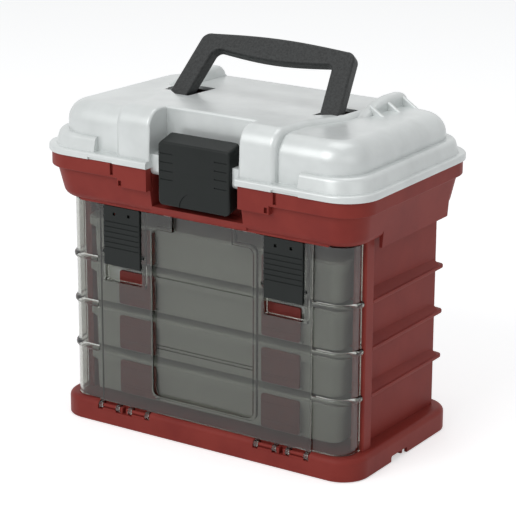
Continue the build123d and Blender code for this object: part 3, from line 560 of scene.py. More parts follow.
class Finishes:
    """The cabinet's materials by the record's slot."""

    def __init__(self) -> None:
        """Builds each finish once."""
        kinds = {
            # polypropylene from an etched mould: satin brick red with soft cloudy variation
            "red_shell": MouldedPlastic(
                "polypropylene_brick_red", "#8a352e", "#7e2d28", 0.5, 0.6, 0.012, specular=0.18,
            ),
            # pearl pigment in ABS: pale grey with a soft sheen and a very fine sparkle
            "silver_lid": MouldedPlastic(
                "abs_pearl_silver", "#dbdfde", "#cfd3d2", 0.36, 0.5, 0.008, coat=0.25, metallic=0.25,
            ),
            # acetal latches: black, slightly cool, low sheen
            "black_latch": MouldedPlastic("acetal_black", "#1b1f1e", "#171b1a", 0.42, 0.8, 0.02, specular=0.22),
            # grip with a coarse leather-like grain from the mould in its bump; the fine pale speckle in its
            # colour is painted highlight, for light catching the grain
            "black_grip": MouldedPlastic(
                "polypropylene_black_grain_painted_glint", "#303232", "#0e1010", 0.5, 1.3, 0.3, 1.7, specular=0.4,
            ),
            # smoke-grey styrene: dark, glossy, with moulding ripples
            "smoke_clear": ClearPlastic("styrene_smoke_clear", "#b3b4af", "#a3a49f", 0.04, 26.0, 0.03),
            # random-copolymer polypropylene: clear but milky
            "clear_box": ClearPlastic(
                "polypropylene_milky_clear", "#eef1ee", "#dcdedb", 0.22, 12.0, 0.02, haze=0.45,
                haze_colour="#e4e7e3",
            ),
            # polypropylene latches: the shell's red darkened as painted shade, for the shadow they lie in
            # behind the smoke door
            "red_latch": MouldedPlastic(
                "polypropylene_latch_red_painted_shade", "#74302b", "#692925", 0.46, 0.6, 0.01, specular=0.2,
            ),
            # zinc-plated wire: cool grey metal, fairly smooth
            "hinge_steel": PlatedSteel("steel_zinc_plated", "#b9bcbd", 0.28, 0.3),
        }
        self.built = {slot: kind.build() for slot, kind in kinds.items()}

    def dress(self, piece: Piece, slot: str) -> None:
        """Gives a piece one finish all over.

        Args:
            piece: A new piece or a CAD node's object.
            slot: The record's slot.
        """
        piece.data.materials.clear()
        piece.data.materials.append(self.built[slot])


def hand_over(piece: Piece, body: str, slot: str, finishes: Finishes, *nodes: str) -> None:
    """Finishes a piece: shading, material, body, slot and replaced nodes.

    Args:
        piece: The finished mesh object.
        body: The CAD body that it moves with.
        slot: The record's material slot.
        finishes: The cabinet's materials.
        nodes: CAD nodes that the piece stands for.
    """
    shade(piece)
    finishes.dress(piece, slot)
    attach(piece, body)
    if nodes:
        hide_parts(*nodes)
    log.info("%s rides on %s, %d faces", piece.name, body, len(piece.data.polygons))


# ---------------------------------------------------------------------------
# Pieces
# ---------------------------------------------------------------------------
@dataclass
class Lid:
    """Silver lid: flange, shoulder, dome and raised middle, with latch bay and humps."""

    bottom: float = 217.5
    wall: float = 2.4
    half: Pair = (145.1, 89.3)
    corner: float = 28.0
    flange_top: float = 223.0
    flange_edge: Pair = (0.7, 1.9)
    shoulder_half: Pair = (142.0, 86.2)
    shoulder_top: float = 234.0
    shoulder_draw: float = 3.5
    shoulder_end: float = 91.0
    shoulder_edge: float = 3.2
    dome_half: Pair = (132.0, 79.5)
    dome_top: Pair = (257.5, 252.5)
    dome_corner: float = 26.0
    dome_edge: float = 16.0
    spine_half: Pair = (71.0, 84.0)
    spine_y: Pair = (-84.5, 80.5)
    spine_top: Pair = (262.0, 255.5)
    spine_round: Pair = (15.0, 8.0)
    spine_edge: float = 4.5
    flare_y: Pair = (-42.0, -4.0)
    bay_half: float = 40.0
    bay_back: float = -61.0
    bay_knee: float = 257.0
    bay_top: float = 322.0
    bay_lean: float = 10.0
    bay_rim: float = 2.2
    hump_x: Pair = (79.5, 89.5)
    hump_y: Pair = (-58.0, 79.0)
    hump_z: Pair = (236.0, 264.0)
    hump_crest: float = 42.0
    hump_fall: float = 1.5
    hump_round: Pair = (12.0, 3.4)
    gusset_y: tuple[float, ...] = (24.0, 46.5, 69.0)
    gusset_z: Pair = (248.0, 262.0)
    gusset_reach: float = 15.0
    gusset_fall: float = 11.5
    gusset_half: float = 1.5
    gusset_edge: float = 1.1
    recess_depth: float = 2.5
    recess_front: float = -30.0
    recess_front_half: float = 54.0
    groove_inset: float = 5.8
    groove_depth: float = 3.3
    notch_x: Pair = (71.0, 94.0)
    pivot: Pair = (-4.0, 252.0)
    leg: Pair = (61.7, 77.1)
    leg_room: Pair = (5.5, 1.2)
    boss_half: float = 6.2
    boss_wall: float = 3.0
    pivot_bore: float = 3.25
    latch_pivot: Pair = (-76.0, 216.5)
    latch_bore: float = 2.05
    ear_x: float = 32.3
    ear_root: Pair = (38.9, 41.5)
    ear_radius: float = 5.0
    ear_top: float = 228.0
    hinge: Pair = (91.0, 211.0)
    hinge_x: float = 78.0
    knuckle_half: float = 7.0
    knuckle_radius: float = 3.6
    strap_y: Pair = (87.5, 94.5)
    hinge_bore: float = 1.65

    def spine_height(self, y: float) -> float:
        """Height of the raised middle's rim at a place from front to back."""
        share = (y - self.spine_y[0]) / (self.spine_y[1] - self.spine_y[0])
        return self.spine_top[0] + share * (self.spine_top[1] - self.spine_top[0])

    def foot(self, inset: float, order: int) -> float:
        """Lowest level of a mass; no two share a plane, so that the joins stay clean."""
        return self.bottom - 2 - order / 2 if inset else self.bottom + 0.6 + order / 2

    def flange(self) -> Piece:
        """Models the rim that closes over the tub.

        Returns:
            The new mesh object.
        """
        x, y = self.half
        piece = block("lid", (-x, -y, self.bottom), (x, y, self.flange_top))
        round_edges(piece, upright, self.corner, 12)
        round_edges(piece, lambda m, d: m.z > self.flange_top - NEAR, self.flange_edge[1], 3)
        round_edges(piece, lambda m, d: m.z < self.bottom + NEAR, self.flange_edge[0], 2)
        return piece

    def shoulder(self, inset: float) -> Piece:
        """Models the step round the corners and sides, open in front.

        Args:
            inset: How far inside the outer face it lies, in mm; 0 is the outer face.

        Returns:
            The new mesh object.
        """
        x, y = (half - inset for half in self.shoulder_half)
        top = self.shoulder_top - inset
        piece = block("shoulder", (-x, -y, self.foot(inset, 1)), (x, y, top))
        scale = ((x - self.shoulder_draw) / x, (y - self.shoulder_draw) / y, 1)
        spread(piece, lambda v: v.z > top - NEAR, scale, (0, 0, top))
        round_edges(piece, upright, self.corner - 1 - inset, 12)
        round_edges(piece, lambda m, d: m.z > top - NEAR, self.shoulder_edge, 4)
        end = self.shoulder_end + inset
        front = block("front", (-end, -2 * y, 0), (end, -self.dome_half[1] + inset + 0.6, 2 * top))
        return cut(piece, front)

    def dome(self, inset: float) -> Piece:
        """Models the pillow-shaped top between shoulder and raised middle.

        Args:
            inset: How far inside the outer face it lies, in mm; 0 is the outer face.

        Returns:
            The new mesh object.
        """
        x, y = (half - inset for half in self.dome_half)
        front, rear = (top - inset for top in self.dome_top)
        piece = block("dome", (-x, -y, self.foot(inset, 0)), (x, y, front))
        shift(piece, lambda v: v.z > front - NEAR and v.y > 0, (0, 0, rear - front))
        round_edges(piece, upright, self.dome_corner - inset, 12)
        round_edges(piece, lambda m, d: m.z > rear - NEAR, self.dome_edge - inset, 8)
        return piece

    def spine(self, inset: float) -> Piece:
        """Models the raised middle that carries the handle.

        Args:
            inset: How far inside the outer face it lies, in mm; 0 is the outer face.

        Returns:
            The new mesh object.
        """
        half, rear_half = (width - inset for width in self.spine_half)
        front, rear = self.spine_y[0] + inset, self.spine_y[1] - inset
        drop = inset + (self.recess_depth if inset else 0)
        top_front, top_rear = (top - drop for top in self.spine_top)
        low = self.foot(inset, 2)
        piece = block("spine", (-half, front, low), (half, rear, top_front))
        shift(piece, lambda v: v.z > top_front - NEAR and v.y > 0, (0, 0, top_rear - top_front))
        for y in self.flare_y:
            slice_at(piece, (0, y, 0), (0, 1, 0))
        flare = rear_half / half
        spread(piece, lambda v: v.y > self.flare_y[1] - 1, (flare, 1, 1), (0, 0, 0))
        lowest_top = top_rear - 1
        for end, radius, segments in zip((front, rear), self.spine_round, (7, 5)):
            def across(m: Vector, d: Vector) -> bool:
                """Edge test: the top edge at one end."""
                return m.z > lowest_top and abs(d.x) > ALONG and abs(m.y - end) < 1
            round_edges(piece, across, radius - inset, segments)
        if not inset:
            def rim(m: Vector, d: Vector) -> bool:
                """Edge test: the outline of a side, but not the rings at the flare."""
                ring = abs(d.z) > ALONG and min(abs(m.y - y) for y in self.flare_y) < 0.5
                return abs(d.x) < 0.5 and m.z > low + 0.5 and not ring
            round_edges(piece, rim, self.spine_edge, 5)
        return piece

    def bay(self, inset: float) -> Piece:
        """Models the space cut for the latch, whose back leans forward above a knee.

        Args:
            inset: How far inside the outer face it lies, in mm; 0 is the outer face.

        Returns:
            The new mesh object.
        """
        half = self.bay_half + inset
        back = self.bay_back + inset
        piece = block("bay", (-half, -120, 100), (half, back, self.bay_top))
        slice_at(piece, (0, 0, self.bay_knee), (0, 0, 1))
        shift(piece, lambda v: v.z > self.bay_knee + 1 and v.y > back - 1, (0, -self.bay_lean, 0))
        return piece

    def recess(self) -> Piece:
        """Models the shallow sunk panel of the top, open to the rear.

        Returns:
            The new mesh object.
        """
        inner, front = self.hump_x[0] + 0.3, self.recess_front
        rear = self.spine_y[1] + 3
        floor = self.spine_height(front) - self.recess_depth
        piece = block("recess", (-inner, front, floor), (inner, rear, 300))
        drop = self.spine_height(rear) - self.spine_height(front)
        shift(piece, lambda v: v.z < 280 and v.y > 0, (0, 0, drop))
        slice_at(piece, (0, self.flare_y[1], 0), (0, 1, 0))
        spread(piece, lambda v: v.y < front + 1, (self.recess_front_half / inner, 1, 1), (0, front, 0))
        shift(piece, lambda v: v.y < front + 1 and v.z < 280, (0, 3, 0))
        return piece

    def hump(self, side: int) -> Piece:
        """Models one of the rises beside the folded grip.

        Args:
            side: -1 for left, 1 for right.

        Returns:
            The new mesh object.
        """
        (low, top), (front, rear) = self.hump_z, self.hump_y
        middle = (low + top) / 2
        piece = side_block("hump", side, *self.hump_x, (front, low), (rear, top))
        shift(piece, lambda v: v.z > middle and v.y < 0, (0, self.hump_crest - front, 0))
        shift(piece, lambda v: v.z > middle and v.y > rear - 1, (0, 0, -self.hump_fall))
        round_edges(piece, lambda m, d: m.z > middle and abs(d.x) > ALONG, self.hump_round[0], 8)
        round_edges(piece, lambda m, d: m.z > low + 0.5 and abs(d.x) < 0.3, self.hump_round[1], 4)
        return piece

    def gussets(self, side: int) -> list[Piece]:
        """Models the three webs that run from a hump down to the dome.

        Args:
            side: -1 for left, 1 for right.

        Returns:
            The three webs.
        """
        webs = []
        root = self.hump_x[1]
        low_z, high_z = self.gusset_z
        for y in self.gusset_y:
            low, high = (y - self.gusset_half, low_z), (y + self.gusset_half, high_z)
            web = side_block("gusset", side, root - 3, root + self.gusset_reach, low, high)
            shift(web, lambda v: abs(v.x) > root and v.z > low_z + 1, (0, 0, -self.gusset_fall))
            round_edges(web, lambda m, d: m.z > low_z + 1 and abs(d.x) > 0.3, self.gusset_edge, 3)
            webs.append(web)
        return webs

    def bay_edge(self, m: Vector, d: Vector) -> bool:
        """Edge test: where the latch bay opens through the raised middle.

        Args:
            m: The edge's middle in mm.
            d: The edge's direction.

        Returns:
            Whether the edge is to be rounded.
        """
        side, back = self.bay_half, self.bay_back
        on_side = abs(abs(m.x) - side) < NEAR and abs(d.x) < ACROSS
        flank = on_side and m.z > self.flange_top + 1 and m.y < back + 1.5
        inner_corner = abs(d.z) > 0.8 and m.y > back - 1.5
        rim = abs(m.x) < side - NEAR and abs(d.x) > ALONG and m.z > self.dome_top[0]
        return (flank and not inner_corner) or rim

    def cover(self) -> Piece:
        """Joins the outer masses, cuts the latch bay and hollows the lid.

        Returns:
            The hollow lid.
        """
        lid = add(self.flange(), self.dome(0), self.shoulder(0), self.spine(0))
        cut(lid, self.recess())
        for _, side in SIDES:
            add(lid, self.hump(side), *self.gussets(side))
        cut(lid, self.bay(0))
        round_edges(lid, self.bay_edge, self.bay_rim, 4)
        hollow = add(self.dome(self.wall), self.shoulder(self.wall), self.spine(self.wall))
        cut(hollow, self.bay(self.wall))
        return cut(lid, hollow)

    def groove(self) -> Piece:
        """Models the groove under the flange that takes the tub's tongue.

        Returns:
            The new mesh object.
        """
        x, y = (half - self.groove_inset for half in self.half)
        groove = block("groove", (-x, -y, self.bottom - 1), (x, y, self.bottom + self.groove_depth))
        round_edges(groove, upright, self.corner - self.groove_inset, 12)
        keep = self.bay_half + self.wall
        return cut(groove, block("middle", (-keep, -120, 0), (keep, 0, 300)))

    def handle_mount(self, side: int) -> tuple[list[Piece], Piece, Piece]:
        """Models the bosses of one leg's pin, the leg's slot and the pin's bore.

        Args:
            side: -1 for left, 1 for right.

        Returns:
            The two bosses, the slot and the bore.
        """
        y, z = self.pivot
        inner, outer = self.leg[0] - self.leg_room[0], self.leg[1] + self.leg_room[1]
        low = (y - self.boss_half, z - self.boss_half)
        high = (y + self.boss_half, self.spine_height(y) - self.recess_depth - 1.2)
        ends = (inner - self.boss_wall, outer + self.boss_wall)
        bosses = [side_block("boss", side, *x, low, high) for x in ((ends[0], inner + 1), (outer - 1, ends[1]))]
        slot = side_block("slot", side, inner, outer, (low[0] - NEAR, z - 6.6), (y + 32, 300))
        return bosses, slot, rod("bore", [side * end for end in ends], y, z, self.pivot_bore)

    def latch_mount(self, side: int) -> tuple[list[Piece], Piece]:
        """Models one ear of the latch bay with its web and root, and the eye in it.

        Args:
            side: -1 for left, 1 for right.

        Returns:
            The ear's three solids and the eye.
        """
        y, z = self.latch_pivot
        reach, top = self.ear_radius, self.ear_top
        ear = rod("ear", (side * self.ear_x, side * (self.bay_half + 1)), y, z, reach)
        low, high = (y - reach + NEAR, z), (y + reach - NEAR, top)
        web = side_block("ear_web", side, self.ear_x + 0.05, self.bay_half + 0.8, low, high)
        low, high = (y - reach - NEAR, self.bottom + 0.3), (y + reach + NEAR, top + 0.3)
        root = side_block("ear_root", side, *self.ear_root, low, high)
        eye = rod("eye", (side * 30, side * (self.bay_half - NEAR)), y, z, self.latch_bore)
        return [ear, web, root], eye

    def knuckle(self, side: int) -> tuple[list[Piece], Piece]:
        """Models one hinge knuckle with its strap, and the pin's bore.

        Args:
            side: -1 for left, 1 for right.

        Returns:
            The knuckle and its strap, and the bore.
        """
        y, z = self.hinge
        low, high = (side * self.hinge_x + end for end in (-self.knuckle_half, self.knuckle_half))
        ring = rod("knuckle", (low, high), y, z, self.knuckle_radius)
        front, rear = self.strap_y
        strap = block("strap", (low + 0.05, front, z), (high - 0.05, rear, self.flange_top - 0.05))
        return [ring, strap], rod("pin_bore", (low - 1, high + 1), y, z, self.hinge_bore)

    def fittings(self, lid: Piece) -> None:
        """Cuts the slots and grooves and adds bosses, ears and knuckles.

        Args:
            lid: The hollow lid.
        """
        cut(lid, self.groove())
        for _, side in SIDES:
            bosses, slot, bore = self.handle_mount(side)
            ears, eye = self.latch_mount(side)
            hinge, pin_bore = self.knuckle(side)
            high = (-self.shoulder_half[1] - 1.1, self.bottom + 2.2)
            notch = side_block("notch", side, *self.notch_x, (-200, 100), high)
            add(lid, *bosses, *ears)
            cut(lid, slot, notch, bore, eye)
            add(lid, *hinge)
            cut(lid, pin_bore)

    def build(self, finishes: Finishes) -> None:
        """Models and dresses the lid.

        Args:
            finishes: The cabinet's materials.
        """
        lid = self.cover()
        self.fittings(lid)
        lid.name = "lid_moulding"
        hand_over(lid, "lid", "silver_lid", finishes, "lid")


@dataclass
class LidLatch:
    """Black latch on the lid's front: hollow cover, grip grooves, hook and trunnions."""

    half: float = 32.0
    z: Pair = (191.0, 244.0)
    y: Pair = (-84.3, -70.0)
    wall: float = 2.4
    corner: float = 4.0
    pivot: Pair = (-76.0, 216.5)
    pin_end: float = 39.7
    pin_radius: float = 2.0
    grooves: int = 4
    groove_pitch: float = 6.6
    groove_length: float = 11.0
    groove_size: Pair = (0.9, 0.6)
    lip: Pair = (-75.8, 195.7)
    lip_half: float = 24.0
    scoop_radius: float = 13.0

    def shell(self, inset: float) -> Piece:
        """Models the cover's outside, or the hollow behind its face.

        Args:
            inset: How far inside the outer face it lies, in mm; 0 is the outer face.

        Returns:
            The new mesh object.
        """
        half = self.half - inset
        low, high = self.z[0] + inset, self.z[1] - inset
        front, back = self.y[0] + inset, self.y[1] + inset
        piece = block("lid_latch_cover", (-half, front, low), (half, back, high))
        shift(piece, lambda v: v.z > high - 1 and v.y < front + 1, (0, 0, -self.corner))
        shift(piece, lambda v: v.z < low + 1 and v.y > back - 1, (0, 0, self.corner))
        round_edges(piece, lambda m, d: abs(m.x) > half - 1 and abs(d.y) > ALONG, self.corner - inset / 2, 6)
        if not inset:
            round_edges(piece, lambda m, d: m.y < front + NEAR, 1.6, 4)
        return piece

    def build(self, finishes: Finishes) -> None:
        """Models and dresses the lid latch.

        Args:
            finishes: The cabinet's materials.
        """
        latch = cut(self.shell(0), self.shell(self.wall))
        tip_y, lip_z = self.lip
        lip = block("lip", (-self.lip_half, self.y[0] + 1.2, lip_z - self.wall), (self.lip_half, tip_y, lip_z))
        round_edges(lip, lambda m, d: abs(d.x) > ALONG and m.y > tip_y - NEAR, 0.5, 2)
        add(latch, lip)
        height, depth = self.groove_size
        for _, side in SIDES:
            for count in range(self.grooves):
                z = self.z[1] - (2 + count) * self.groove_pitch
                outer = self.half - self.wall
                low, high = (self.y[0] - 2, z), (self.y[0] + depth, z + height)
                groove = side_block("groove", side, outer - self.groove_length, outer, low, high)
                cut(latch, groove)
        deselect()
        bpy.ops.mesh.primitive_cylinder_add(
            vertices=64, radius=self.scoop_radius * MM, depth=4 * MM, rotation=(pi / 2, 0, 0),
            location=(0, (self.y[0] + depth - 2) * MM, self.z[0] * MM),
        )
        cut(latch, settle(bpy.context.object, "scoop"))
        for _, side in SIDES:
            span = (side * (self.half - self.wall), side * self.pin_end)
            add(latch, rod("trunnion", span, *self.pivot, self.pin_radius))
        latch.name = "lid_latch_moulding"
        hand_over(latch, "lid_latch", "black_latch", finishes, "lid_latch")


@dataclass
class Handle:
    """Black bail handle: bowed grip on two tapering legs, leaned back as it lies."""

    pivot: Pair = (-4.0, 252.0)
    lean: float = 41.8
    length: float = 58.0
    thick: float = 10.0
    foot: Pair = (61.7, 77.1)
    shoulder: Pair = (53.3, 68.7)
    grip_height: float = 13.5
    sag: float = 3.5
    corner: float = 6.75
    crown: float = 3.0
    inner_corner: float = 4.0
    bow_steps: int = 12
    edge: float = 2.2
    pin_reach: Pair = (53.2, 81.3)
    pin_radius: float = 3.2

    def outside(self) -> Piece:
        """Models the tapering slab that the bail is cut from, upright.

        Returns:
            The new mesh object.
        """
        half, top_half = self.foot[1], self.shoulder[1]
        piece = block("handle_bail", (-half, -self.thick / 2, 0), (half, self.thick / 2, self.length))
        spread(piece, lambda v: v.z > 1, (top_half / half, 1, 1), (0, 0, 0))
        self.bow(piece, top_half - self.corner - 1, self.crown)
        return piece

    def bow(self, piece: Piece, half: float, rise: float) -> None:
        """Bends a flat top into a shallow arch.

        Args:
            piece: The upright solid.
            half: Half the arch's span.
            rise: Height of the arch; negative hangs down.
        """
        stations = [half * (2 * step / self.bow_steps - 1) for step in range(self.bow_steps + 1)]
        for x in stations:
            slice_at(piece, (x, 0, 0), (1, 0, 0))
        for x in stations:
            lift = rise * cos(pi / 2 * x / half)
            shift(piece, lambda v: abs(v.x - x) < NEAR and v.z > 1, (0, 0, lift))

    def opening(self) -> Piece:
        """Models the hand's opening, with the grip's bowed underside.

        Returns:
            The new mesh object.
        """
        half, top_half = self.foot[0], self.shoulder[0]
        top = self.length - self.grip_height
        piece = block("opening", (-half, -self.thick, -5), (half, self.thick, top))
        spread(piece, lambda v: v.z > 1, (top_half / half, 1, 1), (0, 0, 0))
        round_edges(piece, lambda m, d: abs(d.y) > ALONG and m.z > top - NEAR, self.inner_corner, 6)
        self.bow(piece, top_half - self.inner_corner - 1, -self.sag)
        return piece

    def build(self, finishes: Finishes) -> None:
        """Models, leans and dresses the handle.

        Args:
            finishes: The cabinet's materials.
        """
        bail = self.outside()
        top, end = self.length - NEAR, self.shoulder[1] - NEAR
        round_edges(bail, lambda m, d: m.z > top and abs(m.x) > end and abs(d.y) > ALONG, self.corner, 8)
        cut(bail, self.opening())
        face = self.thick / 2 - 0.05
        round_edges(bail, lambda m, d: abs(m.y) > face and m.z > NEAR, self.edge, 4)
        for _, side in SIDES:
            foot = rod("foot", [side * x for x in self.foot], 0, 0, self.thick / 2, 40)
            pin = rod("pin", [side * x for x in self.pin_reach], 0, 0, self.pin_radius)
            add(bail, foot, pin)
        bail.rotation_euler = (-radians(self.lean), 0, 0)
        bail.location = (0, self.pivot[0] * MM, self.pivot[1] * MM)
        settle(bail, "handle_bail")
        hand_over(bail, "handle", "black_grip", finishes, "handle")


@dataclass
class Door:
    """Smoke-clear drop-down door: bent sheet, ridges, sunk window, latch pockets and snap hooks."""

    half: float = 127.0
    front: float = -74.0
    rear: float = -52.25
    z: Pair = (18.2, 179.2)
    wall: float = 2.2
    corner: float = 15.0
    facet_x: float = 98.0
    facet_sink: float = 2.0
    ridge_levels: tuple[float, ...] = (57.35, 94.0, 130.65)
    ridge_height: float = 5.5
    ridge_reach: float = 2.0
    ridge_edge: float = 2.4
    window_half: float = 46.0
    neck_half: float = 27.0
    window_z: Pair = (32.5, 167.0)
    window_sink: float = 3.0
    pocket: Pair = (55.5, 91.0)
    pocket_bottom: float = 118.5
    pocket_depth: float = 5.5
    cheek: float = 1.6
    latch_pin: Pair = (-72.85, 142.0)
    hinge: Pair = (-74.5, 14.5)
    hook_spots: tuple[float, ...] = (50.7, 67.1, 78.8, 95.2)
    hook_half: float = 1.6
    hook_radius: float = 2.95
    bar_bore: float = 1.55
    mouth_half: float = 1.1
    pin_bore: float = 1.55
    marks: tuple[Pair, ...] = ((70.4, 71.2), (73.0, 73.8), (128.3, 129.0))
    mark_depth: float = 0.8

    def sheet(self, inset: float) -> Piece:
        """Models the door's outside, or the space behind its sheet.

        Args:
            inset: How far inside the outer face it lies, in mm; 0 is the outer face.

        Returns:
            The new mesh object.
        """
        half, front = self.half - inset, self.front + inset
        rear = self.rear + (10 if inset else 0)
        low, high = self.z[0] - (5 if inset else 0), self.z[1] + (5 if inset else 0)
        piece = block("door_sheet", (-half, front + self.facet_sink, low), (half, rear, high))
        round_edges(piece, lambda m, d: abs(d.z) > ALONG and m.y < self.front + 10, self.corner - inset, 9)
        facet = self.facet_x - inset
        flat = block("flat", (-facet, front, low), (facet, self.front + 9, high))
        if not inset:
            round_edges(flat, lambda m, d: abs(d.z) > ALONG and m.y < self.front + 1, 0.8, 3)
        return add(piece, flat)

    def ridge(self, level: float) -> Piece:
        """Models the two corner ribs at one level, with a lens-shaped section.

        Args:
            level: The rib's lowest level.

        Returns:
            The new mesh object.
        """
        half = self.half + self.ridge_reach
        front = self.front + self.facet_sink - self.ridge_reach
        piece = block("ridge", (-half, front, level), (half, self.rear, level + self.ridge_height))
        near = self.front + 10
        round_edges(piece, lambda m, d: abs(d.z) > ALONG and m.y < near, self.corner + self.ridge_reach, 9)
        rim = self.rear - 0.5
        round_edges(piece, lambda m, d: abs(d.z) < ACROSS and m.y < rim, self.ridge_edge, 4)
        inner = block("inner", (-self.facet_x, -200, 0), (self.facet_x, 0, 300))
        return cut(piece, inner)

    def window(self, grow: float, y: Pair, top: float) -> Piece:
        """Models the window's outline with its neck as a solid between two depths.

        Args:
            grow: How far outside the window's line it lies, in mm.
            y: The solid's front and rear.
            top: The neck's upper end.

        Returns:
            The new mesh object.
        """
        half, low, high = self.window_half + grow, self.window_z[0] - grow, self.window_z[1] + grow
        pane = block("pane", (-half, y[0], low), (half, y[1], high))
        round_edges(pane, lambda m, d: abs(d.y) > ALONG, 5.0 + grow / 2, 6)
        neck = block("neck", (-self.neck_half - grow, y[0], high - 8), (self.neck_half + grow, y[1], top))
        return add(pane, neck)

    def hook(self, x: float) -> Piece:
        """Models one C-shaped snap hook and its neck.

        Args:
            x: The piece's middle in X.

        Returns:
            The new mesh object.
        """
        y, z = self.hinge
        span = (x - self.hook_half, x + self.hook_half)
        hook = rod("hook", span, y, z, self.hook_radius)
        neck = block("neck", (span[0], self.front, z), (span[1], self.front + self.wall, self.z[0] + self.wall))
        add(hook, neck)
        bore = rod("bore", (span[0] - 1, span[1] + 1), y, z, self.bar_bore)
        low, high = (span[0] - 1, y - self.mouth_half, z - 6), (span[1] + 1, y + self.mouth_half, z)
        mouth = block("mouth", low, high)
        return cut(hook, bore, mouth)

    def build(self, finishes: Finishes) -> None:
        """Models and dresses the door.

        Args:
            finishes: The cabinet's materials.
        """
        door = add(self.sheet(0), *(self.ridge(level) for level in self.ridge_levels))
        cut(door, self.sheet(self.wall))
        inner = self.front + self.wall
        pane_back = inner + self.window_sink
        add(door, self.window(self.wall, (inner - 0.5, pane_back), self.z[1]))
        cut(door, self.window(0, (self.front - 5, self.front + self.window_sink), self.z[1] + 5))
        pane = self.front + self.window_sink
        mark_half = self.window_half - 0.3
        for low, high in self.marks:
            cut(door, block("mark", (-mark_half, pane - 2, low), (mark_half, pane + self.mark_depth, high)))
        for _, side in SIDES:
            near, far = self.pocket
            frame_low = (self.front, self.pocket_bottom - self.cheek)
            frame_high = (self.front + self.pocket_depth, self.z[1])
            cheeks = side_block("cheeks", side, near - self.cheek, far + self.cheek, frame_low, frame_high)
            add(door, cheeks)
            opening = side_block("opening", side, near, far, (-150, self.pocket_bottom), (0, 400))
            round_edges(opening, lambda m, d: abs(d.y) > ALONG and m.z < 200, 1.5, 3)
            pin = [side * (near - self.cheek - 1), side * (far + self.cheek + 1)]
            cut(door, opening, rod("pin_hole", pin, *self.latch_pin, self.pin_bore))
            add(door, *(self.hook(side * spot) for spot in self.hook_spots))
        door.name = "door_moulding"
        hand_over(door, "door", "smoke_clear", finishes, "door")


@dataclass
class DoorLatch:
    """Black door latch: grooved plate on two trunnions."""

    x: Pair = (56.25, 90.25)
    z: Pair = (132.0, 179.5)
    front: float = -75.6
    thick: float = 2.4
    pin: Pair = (-72.85, 142.0)
    pin_reach: Pair = (53.9, 92.6)
    pin_radius: float = 1.5
    grooves: int = 6
    groove_pitch: float = 4.1
    groove_size: Pair = (0.9, 0.6)
    hole: float = 2.4
    hole_x: Pair = (66.45, 80.05)

    def build(self, side_name: str, side: int, finishes: Finishes) -> None:
        """Models and dresses one door latch.

        Args:
            side_name: left or right.
            side: -1 for left, 1 for right.
            finishes: The cabinet's materials.
        """
        front, back = self.front, self.front + self.thick
        plate = side_block("plate", side, *self.x, (front, self.z[0]), (back, self.z[1]))
        low = self.z[0] + NEAR
        round_edges(plate, lambda m, d: m.z < low and m.y > back - NEAR and abs(d.x) > ALONG, 1.2, 1)
        round_edges(plate, lambda m, d: abs(d.y) > ALONG and m.z > self.z[1] - 1, 1.2, 3)
        round_edges(plate, lambda m, d: m.y < front + NEAR, 0.5, 3)
        trunnion = rod("trunnion", [side * x for x in self.pin_reach], *self.pin, self.pin_radius)
        add(plate, trunnion)
        height, depth = self.groove_size
        tools = []
        for count in range(self.grooves):
            z = self.pin[1] + self.groove_pitch * (count + 1)
            tools.append(side_block("groove", side, 50, 100, (front - 9, z), (front + depth, z + height)))
        for x in self.hole_x:
            low, high = (front - 5, self.z[1] - 3 * self.hole), (back + 5, self.z[1] - 2 * self.hole)
            tools.append(side_block("hole", side, x - self.hole / 2, x + self.hole / 2, low, high))
        cut(plate, merged(tools))
        plate.name = f"door_latch_plate_{side_name}"
        hand_over(plate, f"door_latch_{side_name}", "black_latch", finishes, f"door_latch_{side_name}")


